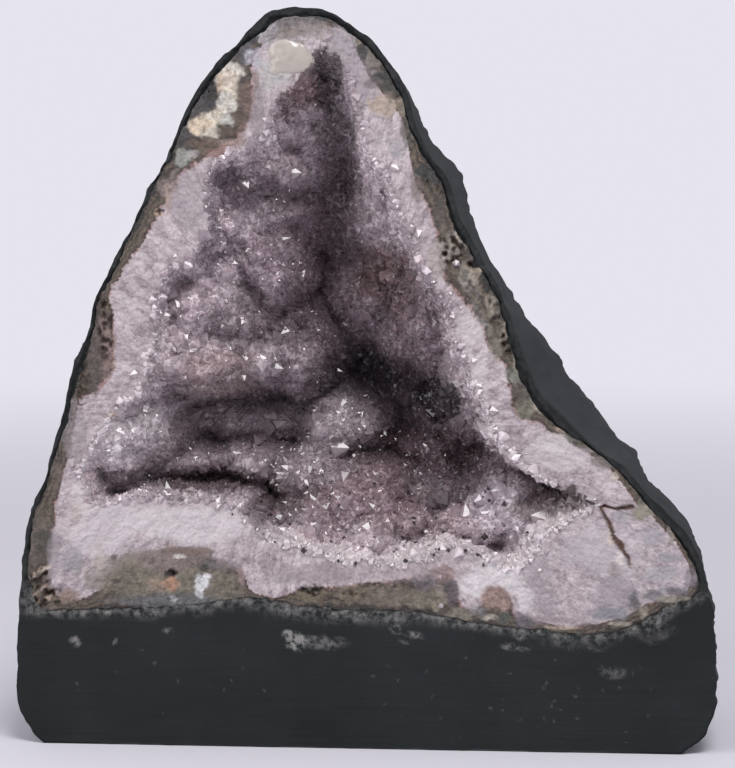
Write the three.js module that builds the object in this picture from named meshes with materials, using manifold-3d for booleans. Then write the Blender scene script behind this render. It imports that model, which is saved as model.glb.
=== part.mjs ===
// An amethyst geode: half of a crystal-lined hollow in stone, sawn open at the front and stood upright.
// The natural lining (agate skin, quartz band, amethyst druse) grew as one stone. A finisher coated its
// back and flanks with dark cement, which ends in a squared foot with a flat underside.
//
// Millimetres, +Z up. The sawn face looks along -Y. The origin is at the middle of the underside.

import * as THREE from 'three';
import { mergeVertices } from 'three/addons/utils/BufferGeometryUtils.js';
import Module from 'manifold-3d';

const wasm = await Module();
wasm.setup();

// Driving sizes of the whole stone
const HEIGHT = 246;
const HALF_WIDTH = 117;
const HALF_DEPTH = 58;
const FACE_LEAN = THREE.MathUtils.degToRad(3); // the sawn face leans back, away from the viewer
const GAP = 0.3; // clearance between the stone and the cement round it

// The body's back: full depth up to the shoulder, then it slopes forward to the apex
const SHOULDER_HEIGHT = 92;
const SHOULDER_ROUNDING = 20;
const BACK_SLOPE = 0.37;
const FOOT_REACH = 16; // how far the body is drawn below the floor, before the underside is cut flat
const CORE_X = -22; // the body narrows towards this line as it goes back
// Swellings of the cement past the sawn edge on the right flank: [height, direction from the core in
// radians above +X, spread in radians]
const FLANK_BULGES = [[10, 0.33, 0.28], [4.2, 1.1, 0.15], [-3.2, 1.42, 0.15]];

// The stone inside the cement
const CEMENT_BACK = 12; // thickness of the cement behind the stone
const STONE_CENTRE = { x: -16, z: 116 };
const HOLLOW_CENTRE = { x: -20, z: 104 };
const HOLLOW_DEPTH = 70;
const HOLLOW_FULL_HEIGHT = 128; // above this height the hollow gets shallower
const HOLLOW_TAPER = 0.36;
const LOBE_BLEND = 2.6; // how softly neighbouring lobes run into each other
const LIP_STEP = 1; // least depth of the crystals behind the sawn face
const FRONT_MARGIN = 12; // solids are drawn this far in front of the sawn face, then cut

// Mesh fineness
const AROUND = 88;

// Edge of the cement at the sawn face, clockwise from the apex: [x, z]
const CEMENT_EDGE = [
  [-33, 245], [-23, HEIGHT], [-14, HEIGHT], [-6, 242], [2, 236], [9, 227], [14, 218], [17, 207], [22, 197],
  [28, 188], [31, 178], [37, 167], [44, 155], [50, 139], [57, 121], [69, 108], [78, 100], [86, 95],
  [94, 86], [102, 79], [110, 69], [114, 58], [116, 45], [HALF_WIDTH, 30], [HALF_WIDTH, 15], [114, 6], [107, 0],
  [96, -8], [70, -FOOT_REACH], [0, -FOOT_REACH], [-70, -FOOT_REACH], [-96, -8], [-107, 0], [-114, 6],
  [-HALF_WIDTH, 16], [-HALF_WIDTH, 32], [-116, 50], [-115, 65], [-112, 79], [-108, 89], [-105, 99], [-102, 109],
  [-100, 119], [-97, 129], [-93, 139], [-91, 149], [-86, 159], [-81, 169], [-76, 179], [-71, 189],
  [-66, 199], [-62, 208], [-58, 216], [-53, 224], [-47, 231], [-41, 237],
];

// Edge of the stone at the sawn face, inside the cement
const STONE_EDGE = [
  [-30, 241], [-22, 242], [-15, 242], [-8, 239], [0, 232], [6, 224], [11, 215], [14, 205], [20, 194],
  [25, 185], [28, 176], [34, 164], [41, 152], [47, 136], [54, 118], [66, 105], [75, 97], [83, 92],
  [91, 83], [98, 77], [106, 66], [110, 58], [110, 54], [104, 51], [89, 44], [71, 39], [56, 41],
  [32, 44], [12, 46], [-21, 48], [-38, 50], [-55, 48], [-72, 46], [-100, 45], [-110, 46], [-112, 53],
  [-111, 65], [-109, 78], [-105, 88], [-102, 98], [-99, 108], [-97, 119], [-94, 128], [-90, 139],
  [-88, 149], [-83, 159], [-78, 169], [-73, 179], [-68, 189], [-63, 198], [-59, 207], [-55, 214],
  [-50, 222], [-45, 228], [-40, 233], [-34, 237],
];

// Lip of the hollow, where the sawn quartz stops and the crystals begin
const HOLLOW_LIP = [
  [-15, 233], [-9, 229], [-4, 220], [-2, 210], [2, 197], [7, 191], [10, 181], [16, 169], [22, 155],
  [27, 149], [30, 138], [35, 126], [39, 115], [44, 103], [53, 94], [63, 88], [72, 84], [70, 77],
  [63, 70], [58, 62], [50, 61], [43, 64], [35, 67], [27, 68], [19, 65], [9, 63], [-3, 63], [-18, 67],
  [-28, 73], [-35, 78], [-41, 84], [-52, 86], [-68, 87], [-80, 84], [-91, 83], [-95, 90], [-92, 100],
  [-86, 109], [-79, 115], [-74, 123], [-70, 135], [-70, 149], [-65, 159], [-56, 164], [-51, 173],
  [-53, 184], [-51, 194], [-41, 199], [-33, 205], [-31, 214], [-25, 220], [-19, 225],
];

// Rounded masses of crystal on the hollow's wall: [x, z, half width, half height, depth of the crown
// behind the sawn face, how much deeper the mass is at its edge]
const LOBES = [
  [-22, 213, 11, 12, 12, 12], [-42, 193, 14, 9, 7, 11], [-47, 178, 15, 12, 10, 10],
  [-35, 161, 9, 12, 12, 15], [-54, 160, 10, 8, 9, 12], [-63, 147, 12, 10, 4, 11],
  [-66, 131, 11, 13, 4, 13], [-48, 142, 11, 11, 15, 12], [-57, 123, 15, 11, 8, 15],
  [-37, 124, 9, 10, 15, 15], [-25, 125, 8, 9, 25, 16], [-86, 102, 13, 14, 2, 12],
  [-34, 138, 12, 11, 30, 12], [-14, 230, 6, 7, 8, 12], [4, 178, 9, 15, 14, 14],
  [0, 152, 12, 12, 32, 12], [19, 140, 11, 14, 17, 14], [31, 117, 9, 13, 18, 14],
  [-13, 101, 12, 11, 32, 18], [-84, 88, 10, 5, 15, 11], [-60, 89, 12, 5, 20, 13],
  [-42, 89, 9, 6, 20, 13], [-24, 82, 12, 9, 22, 13], [-8, 77, 13, 9, 17, 12],
  [-22, 70, 11, 7, 8, 10], [0, 65, 14, 6, 5, 9], [11, 74, 12, 7, 12, 11], [26, 81, 13, 8, 14, 13],
  [34, 72, 12, 7, 7, 10], [48, 81, 12, 10, 8, 12], [58, 71, 10, 10, 4, 10], [22, 94, 14, 8, 34, 16],
  [-50, 104, 26, 7, 42, 12],
];

const lean = Math.tan(FACE_LEAN);

function faceY(z) {
  return -HALF_DEPTH + z * lean;
}

// Distance from the sawn face to the back of the body at a height: nearly level below the shoulder,
// sloping above it, with a softplus curve between, and exactly the full depth at the shoulder
function bodyDepth(z) {
  const softplus = Math.log((1 + Math.exp((z - SHOULDER_HEIGHT) / SHOULDER_ROUNDING)) / 2);
  return 2 * HALF_DEPTH - SHOULDER_HEIGHT * lean - BACK_SLOPE * SHOULDER_ROUNDING * softplus;
}

function closedCurve(points) {
  return new THREE.CatmullRomCurve3(points.map(([x, z]) => new THREE.Vector3(x, 0, z)), true, 'centripetal');
}

// A closed skin made from a lathe: profile points are (scale, station), the pole at each end has scale 0,
// and place() puts each lathe vertex where its fraction round the outline, scale and station say.
function outlineSkin(profile, place) {
  const lathe = new THREE.LatheGeometry(profile.map(([scale, station]) => new THREE.Vector2(scale, station)), AROUND);
  const position = lathe.attributes.position;
  const put = new THREE.Vector3();
  for (let i = 0; i < position.count; i += 1) {
    const across = position.getX(i);
    const along = position.getZ(i);
    const turn = Math.atan2(across, along) / (2 * Math.PI);
    const step = Math.round((turn < 0 ? turn + 1 : turn) * AROUND) % AROUND;
    place(put, step / AROUND, Math.hypot(across, along), position.getY(i));
    position.setXYZ(i, put.x, put.y, put.z);
  }
  lathe.deleteAttribute('normal');
  lathe.deleteAttribute('uv');
  return toSolid(mergeVertices(lathe, 1e-4));
}

function signedVolume(positions, triangles) {
  const [a, b, c] = [new THREE.Vector3(), new THREE.Vector3(), new THREE.Vector3()];
  let six = 0;
  for (let i = 0; i < triangles.length; i += 3) {
    a.fromArray(positions, 3 * triangles[i]);
    b.fromArray(positions, 3 * triangles[i + 1]);
    c.fromArray(positions, 3 * triangles[i + 2]);
    six += a.dot(b.cross(c));
  }
  return six / 6;
}

// Drops the triangles that a pole has collapsed, turns the skin outwards and makes it a solid
function toSolid(geometry) {
  const positions = geometry.attributes.position.array;
  const index = geometry.index.array;
  const kept = [];
  for (let i = 0; i < index.length; i += 3) {
    const [a, b, c] = [index[i], index[i + 1], index[i + 2]];
    if (a !== b && b !== c && c !== a) kept.push(a, b, c);
  }
  if (signedVolume(positions, kept) < 0) kept.reverse();
  return new wasm.Manifold(new wasm.Mesh({
    numProp: 3, vertProperties: new Float32Array(positions), triVerts: new Uint32Array(kept),
  }));
}

// Everything behind the sawn face and above the floor
function keptSpace() {
  const size = 4 * HEIGHT;
  const box = new THREE.BoxGeometry(size, size, size);
  box.deleteAttribute('normal');
  box.deleteAttribute('uv');
  const front = box.clone().rotateX(-FACE_LEAN);
  const out = new THREE.Vector3(0, size / 2, 0).applyAxisAngle(new THREE.Vector3(1, 0, 0), -FACE_LEAN);
  front.translate(out.x, out.y - HALF_DEPTH, out.z);
  const above = box.translate(0, 0, size / 2);
  return toSolid(mergeVertices(front, 1e-4)).intersect(toSolid(mergeVertices(above, 1e-4)));
}

// How much of the outline is left at a fraction of the way back: straight flanks, then a rounded back
function bodyTaper(back) {
  return (1 - back ** 4) ** (1 / 2.6);
}

function stoneTaper(back) {
  return (1 - back ** 2.6) ** (1 / 2.1);
}

function bodySolid() {
  const edge = closedCurve(CEMENT_EDGE);
  const backs = [0, 0.12, 0.25, 0.4, 0.55, 0.68, 0.79, 0.88, 0.95, 0.985];
  const profile = [[0, -1], [1, -1], ...backs.map((back) => [bodyTaper(back), back]), [0, 1]];
  return outlineSkin(profile, (put, round, scale, back) => {
    const on = edge.getPointAt(round);
    const angle = Math.atan2(on.z - SHOULDER_HEIGHT, on.x - CORE_X);
    let swell = 0;
    for (const [height, middle, spread] of FLANK_BULGES) {
      swell += height * Math.exp(-(((angle - middle) / spread) ** 2));
    }
    const bulge = back > 0 ? swell * Math.sin(Math.PI * Math.min(1, back * 1.1) ** 0.6) : 0;
    put.x = CORE_X + (on.x - CORE_X) * scale + bulge * Math.cos(angle);
    put.z = SHOULDER_HEIGHT + (on.z - SHOULDER_HEIGHT) * scale + bulge * Math.sin(angle);
    put.y = faceY(put.z) + (back < 0 ? -FRONT_MARGIN : back * bodyDepth(put.z));
    put.y = Math.min(put.y, HALF_DEPTH);
  });
}

// The stone's outside, grown by a clearance when it is used to hollow out the cement
function stoneSolid(grow) {
  const edge = closedCurve(STONE_EDGE);
  const backs = [0, 0.15, 0.3, 0.45, 0.6, 0.74, 0.86, 0.95];
  const profile = [[0, -1], [1, -1], ...backs.map((back) => [stoneTaper(back), back]), [0, 1]];
  return outlineSkin(profile, (put, round, scale, back) => {
    const on = edge.getPointAt(round);
    const outward = new THREE.Vector2(on.x - STONE_CENTRE.x, on.z - STONE_CENTRE.z);
    const reach = outward.length();
    outward.multiplyScalar((reach * scale + 2 * grow * Math.min(1, scale * 8)) / reach);
    put.x = STONE_CENTRE.x + outward.x;
    put.z = STONE_CENTRE.z + outward.y;
    const depth = bodyDepth(put.z) - CEMENT_BACK + grow;
    put.y = faceY(put.z) + (back < 0 ? -FRONT_MARGIN : back * depth);
  });
}

// Depth of the crystal wall behind the sawn face. A steep-sided bowl and a paraboloid for each lobe are
// joined by a soft minimum; scale is 1 at the lip and 0 at the middle of the hollow.
function hollowDepth(x, z, scale) {
  const full = HOLLOW_DEPTH - HOLLOW_TAPER * Math.max(0, z - HOLLOW_FULL_HEIGHT);
  let sum = Math.exp(-full * (1 - scale ** 4) / LOBE_BLEND);
  for (const [lobeX, lobeZ, halfWidth, halfHeight, crown, fall] of LOBES) {
    const off = ((x - lobeX) / halfWidth) ** 2 + ((z - lobeZ) / halfHeight) ** 2;
    sum += Math.exp(-(crown + fall * off) / LOBE_BLEND);
  }
  return scale === 1 ? 0 : Math.max(LIP_STEP, -LOBE_BLEND * Math.log(sum));
}

function hollowSolid() {
  const lip = closedCurve(HOLLOW_LIP);
  const rings = 17;
  const scales = Array.from({ length: rings }, (unused, ring) => 1 - (ring / rings) ** 1.15);
  const profile = [[0, -1], [1, -1], ...scales.map((scale, ring) => [scale, ring / rings]), [0, 1]];
  return outlineSkin(profile, (put, round, scale, station) => {
    const on = lip.getPointAt(round);
    put.x = HOLLOW_CENTRE.x + (on.x - HOLLOW_CENTRE.x) * scale;
    put.z = HOLLOW_CENTRE.z + (on.z - HOLLOW_CENTRE.z) * scale;
    put.y = faceY(put.z) + (station < 0 ? -FRONT_MARGIN : hollowDepth(put.x, put.z, scale));
  });
}

function namedMesh(name, solid, colour, roughness) {
  const { vertProperties, triVerts, numProp } = solid.getMesh();
  const positions = new Float32Array((vertProperties.length / numProp) * 3);
  for (let i = 0; i < positions.length / 3; i += 1) {
    positions.set(vertProperties.subarray(i * numProp, i * numProp + 3), 3 * i);
  }
  const geometry = new THREE.BufferGeometry();
  geometry.setAttribute('position', new THREE.BufferAttribute(positions, 3));
  geometry.setIndex(new THREE.BufferAttribute(new Uint32Array(triVerts), 1));
  const mesh = new THREE.Mesh(
    geometry, new THREE.MeshStandardMaterial({ color: colour, roughness, metalness: 0 }));
  mesh.name = name;
  return mesh;
}

const space = keptSpace();
const casing = bodySolid().intersect(space).subtract(stoneSolid(GAP));
const lining = stoneSolid(0).intersect(space).subtract(hollowSolid());

const geode = new THREE.Group();
geode.add(namedMesh('cement_casing', casing, 0x37383a, 0.92));
geode.add(namedMesh('crystal_lining', lining, 0x9c8892, 0.45));

export default geode;
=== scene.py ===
import math

import bpy
import numpy as np
from bpy.props import FloatProperty, IntProperty, PointerProperty, StringProperty
from bpy.types import Operator, Panel, PropertyGroup
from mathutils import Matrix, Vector


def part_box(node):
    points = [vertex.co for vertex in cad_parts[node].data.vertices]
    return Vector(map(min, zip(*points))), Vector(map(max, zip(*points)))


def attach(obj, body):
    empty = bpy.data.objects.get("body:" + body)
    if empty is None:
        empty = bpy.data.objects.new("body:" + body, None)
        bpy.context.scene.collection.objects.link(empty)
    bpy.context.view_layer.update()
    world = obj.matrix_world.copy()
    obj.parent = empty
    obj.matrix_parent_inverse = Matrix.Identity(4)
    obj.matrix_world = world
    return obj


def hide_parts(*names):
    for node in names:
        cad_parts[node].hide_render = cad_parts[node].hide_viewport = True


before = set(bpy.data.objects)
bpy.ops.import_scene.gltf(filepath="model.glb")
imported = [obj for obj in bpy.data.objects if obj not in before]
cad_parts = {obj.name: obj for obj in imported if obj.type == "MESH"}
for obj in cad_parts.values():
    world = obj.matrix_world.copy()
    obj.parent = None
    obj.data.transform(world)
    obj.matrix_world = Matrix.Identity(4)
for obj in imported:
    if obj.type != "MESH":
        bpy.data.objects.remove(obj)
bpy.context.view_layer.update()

# An amethyst geode: a stone with agate, quartz and amethyst grown one on the other towards a hollow, sawn
# open at the front. Its back and flanks wear a dark cement coat that ends in a squared foot.
# Shapes are worked out in millimetres and stored in metres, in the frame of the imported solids: +Z up, the
# sawn face looking along -Y, the origin under the middle of the foot.

bl_info = {
    "name": "Amethyst geode",
    "version": (1, 0, 0),
    "blender": (4, 5, 0),
    "location": "View3D > Sidebar > Geode",
    "description": "Builds a sawn amethyst geode with its cement coat, agate rim and crystal hollow",
    "category": "Mesh",
}

MM = 0.001

# ------------------------------------------------------------------------------- sizes, from the frame
CASING_LOW, CASING_HIGH = (np.array(corner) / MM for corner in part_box("cement_casing"))
HEIGHT = CASING_HIGH[2]
HALF_DEPTH = (CASING_HIGH[1] - CASING_LOW[1]) / 2
HALF_WIDTH = 117.0
FACE_LEAN = math.tan(math.radians(3))  # the sawn face leans back as it rises

# The body behind the face, as the solids have it
SHOULDER_HEIGHT = 92.0
SHOULDER_ROUNDING = 20.0
BACK_SLOPE = 0.37
FOOT_REACH = 16.0
CORE_X = -22.0
# Swellings of the flank: height, direction from the core in radians above +X, spread
FLANK_BULGES = ((10.0, 0.33, 0.28), (4.2, 1.1, 0.15), (-3.2, 1.42, 0.15), (3.2, 0.12, 0.1))
CEMENT_BACK = 12.0
STONE_CENTRE = np.array([-16.0, 116.0])
HOLLOW_CENTRE = np.array([-20.0, 104.0])
HOLLOW_DEPTH = 70.0
HOLLOW_FULL_HEIGHT = 128.0
HOLLOW_TAPER = 0.36
HOLLOW_CROWDING = 1.1  # power by which the grid's rows crowd towards the lip
LOBE_BLEND = 4.0
NODULE_CENTRE = (-27.0, 229.4)
LAP = 2.2  # how far the stone's skin laps over the cement at the sawn face
RIM_INSET = 1.2  # how far the stone's face stops short of the cement's own edge
# How far the stone's sides stand in from the edge of its face, and the cement's pocket out from them
SIDE_INSET = 1.6
POCKET_GAP = 0.3
# How far behind the hollow's bowl the sawn rim and the druse close
RIM_WALL = 5.5
CRUST_WALL = 4.5

# Quartz: its refractive index, and the angle between a point's faces and its axis
QUARTZ_IOR = 1.544
POINT_ANGLE = math.radians(38.2)
POINT_CORNERS = 8

# Edge of the cement at the sawn face, clockwise from the apex: (x, z)
CEMENT_EDGE = [
    (-33, 245), (-23, HEIGHT), (-14, HEIGHT), (-6, 242), (2, 236), (9, 227), (14, 218), (17, 207),
    (22, 197), (28, 188), (31, 178), (37, 167), (44, 155), (50, 139), (57, 121), (69, 108), (78, 100),
    (86, 95), (94, 86), (102, 79), (110, 69), (114, 58), (116, 45), (HALF_WIDTH, 30), (HALF_WIDTH, 15),
    (114, 6), (107, 0), (96, -8), (70, -FOOT_REACH), (0, -FOOT_REACH), (-70, -FOOT_REACH), (-96, -8),
    (-107, 0), (-114, 6), (-HALF_WIDTH, 16), (-HALF_WIDTH, 32), (-116, 50), (-115, 65), (-112, 79),
    (-108, 89), (-105, 99), (-102, 109), (-100, 119), (-97, 129), (-93, 139), (-91, 149), (-86, 159),
    (-81, 169), (-76, 179), (-71, 189), (-66, 199), (-62, 208), (-58, 216), (-53, 224), (-47, 231),
    (-41, 237),
]

# Edge of the stone at the sawn face, inside the cement
STONE_EDGE = [
    (-30, 241), (-22, 242), (-15, 242), (-8, 239), (0, 232), (6, 224), (11, 215), (14, 205), (20, 194),
    (25, 185), (28, 176), (34, 164), (41, 152), (47, 136), (54, 118), (66, 106), (74, 102), (79, 97.5),
    (84, 93), (88, 88.5), (93, 82), (99, 76.5), (104, 70), (108, 64), (109.5, 59), (109.5, 56), (107, 53),
    (100, 50.5), (94, 46.5), (88, 43.5), (80, 41.5), (71, 40.5), (56, 42), (32, 45), (12, 47.5),
    (-21, 49.5), (-38, 51.5), (-55, 49.5), (-72, 47.5), (-100, 46.5), (-109, 46), (-112, 53), (-111, 65),
    (-109, 78), (-105, 88), (-102, 98), (-99, 108), (-97, 119), (-94, 128), (-90, 139), (-88, 149),
    (-83, 159), (-78, 169), (-73, 179), (-68, 189), (-63, 198), (-59, 207), (-55, 214), (-50, 222),
    (-45, 228), (-40, 233), (-34, 237),
]

# Where the agate skin ends and the pale quartz begins
QUARTZ_EDGE = [
    (-22, 240), (-14, 240), (-7, 239), (-3, 232), (1, 224), (5, 219), (12, 210), (14, 202), (16, 192),
    (18, 185), (21, 178), (24, 170), (24, 161), (29, 153), (33, 149), (38, 141), (42, 133), (47, 127),
    (48, 119), (50, 112), (57, 109), (66, 104), (74, 99.5), (79, 95.5), (84, 91.5), (88, 87), (90, 83),
    (95, 79), (100, 74.5), (105, 68), (108, 63), (109.2, 58.5), (108.6, 56), (106, 54), (99, 52), (93, 49),
    (87, 45.5), (79, 43), (70, 42), (60, 43), (55, 44), (51, 45), (50, 49), (48, 53.5), (44, 55),
    (40.5, 52.5), (39, 48), (36, 47), (33, 48.5), (31, 56), (29, 59.5), (24, 60.5), (19, 58.5), (13, 57),
    (-6, 55), (-21, 53), (-30, 50), (-37, 52), (-41, 59), (-50, 64), (-63, 66), (-75, 64), (-85, 58),
    (-92, 50), (-101, 49), (-106, 54), (-106, 63), (-104, 75), (-103, 83), (-101, 92), (-99, 100),
    (-97, 109), (-95, 116), (-89, 119), (-84, 126), (-83, 135), (-84, 144), (-85, 150), (-82, 157),
    (-76, 166), (-70, 176), (-64, 186), (-60, 191), (-54, 196), (-45, 199), (-39, 206), (-37, 213),
    (-37, 220), (-38, 227), (-35, 233), (-29, 237),
]

# Lip of the hollow, where the sawn quartz stops and the crystals begin
HOLLOW_LIP = [
    (-15, 233), (-9, 229), (-4, 220), (-2, 210), (2, 197), (7, 191), (10, 181), (16, 169), (22, 155),
    (27, 149), (30, 138), (35, 126), (39, 115), (44, 103), (53, 94), (63, 88.5), (71, 85.3), (78, 83),
    (73, 80), (66, 77), (60, 72), (56, 65), (50, 61), (43, 64), (35, 67), (27, 68), (19, 65), (9, 63),
    (-3, 63), (-18, 67), (-30, 70), (-37, 75), (-41, 80.5), (-52, 82.5), (-68, 84), (-80, 83.5), (-92, 81),
    (-95, 90), (-92, 100), (-86, 109), (-79, 115), (-74, 123), (-70, 135), (-70, 149), (-65, 159),
    (-56, 164), (-51, 173), (-53, 184), (-51, 194), (-41, 199), (-33, 205), (-31, 214), (-25, 220),
    (-19, 225),
]

# Rounded masses of crystal: x, z, half width, half height, depth of the crown behind the face, how much
# deeper the mass is at its edge
LOBES = [
    (-22, 213, 11, 12, 12, 12), (-42, 193, 14, 9, 7, 11), (-47, 178, 15, 12, 10, 10),
    (-35, 161, 9, 12, 12, 15), (-54, 160, 10, 8, 9, 12), (-63, 147, 12, 10, 4, 11),
    (-66, 131, 11, 13, 4, 13), (-48, 142, 11, 11, 15, 12), (-57, 126, 15, 10, 8, 17),
    (-37, 128, 9, 9, 15, 17), (-25, 125, 8, 9, 25, 16), (-86, 102, 13, 14, 2, 12),
    (-34, 138, 12, 11, 30, 12), (-14, 230, 6, 7, 8, 12), (4, 178, 9, 15, 14, 14), (0, 152, 12, 12, 32, 12),
    (19, 140, 11, 14, 17, 14), (31, 117, 9, 13, 18, 14), (-13, 101, 14, 12, 33, 14),
    (-84, 88, 10, 5, 15, 11), (-60, 89, 12, 5, 20, 13), (-42, 89, 9, 6, 20, 13), (-24, 82, 12, 9, 22, 13),
    (-8, 77, 13, 9, 17, 12), (-22, 70, 11, 7, 8, 10), (0, 65, 14, 6, 5, 9), (11, 74, 12, 7, 12, 11),
    (26, 81, 13, 8, 14, 13), (34, 72, 12, 7, 7, 10), (48, 81, 12, 10, 8, 12), (58, 71, 10, 10, 4, 10),
    (22, 94, 14, 8, 34, 16), (-50, 104, 26, 8, 38, 12),
]

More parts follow.
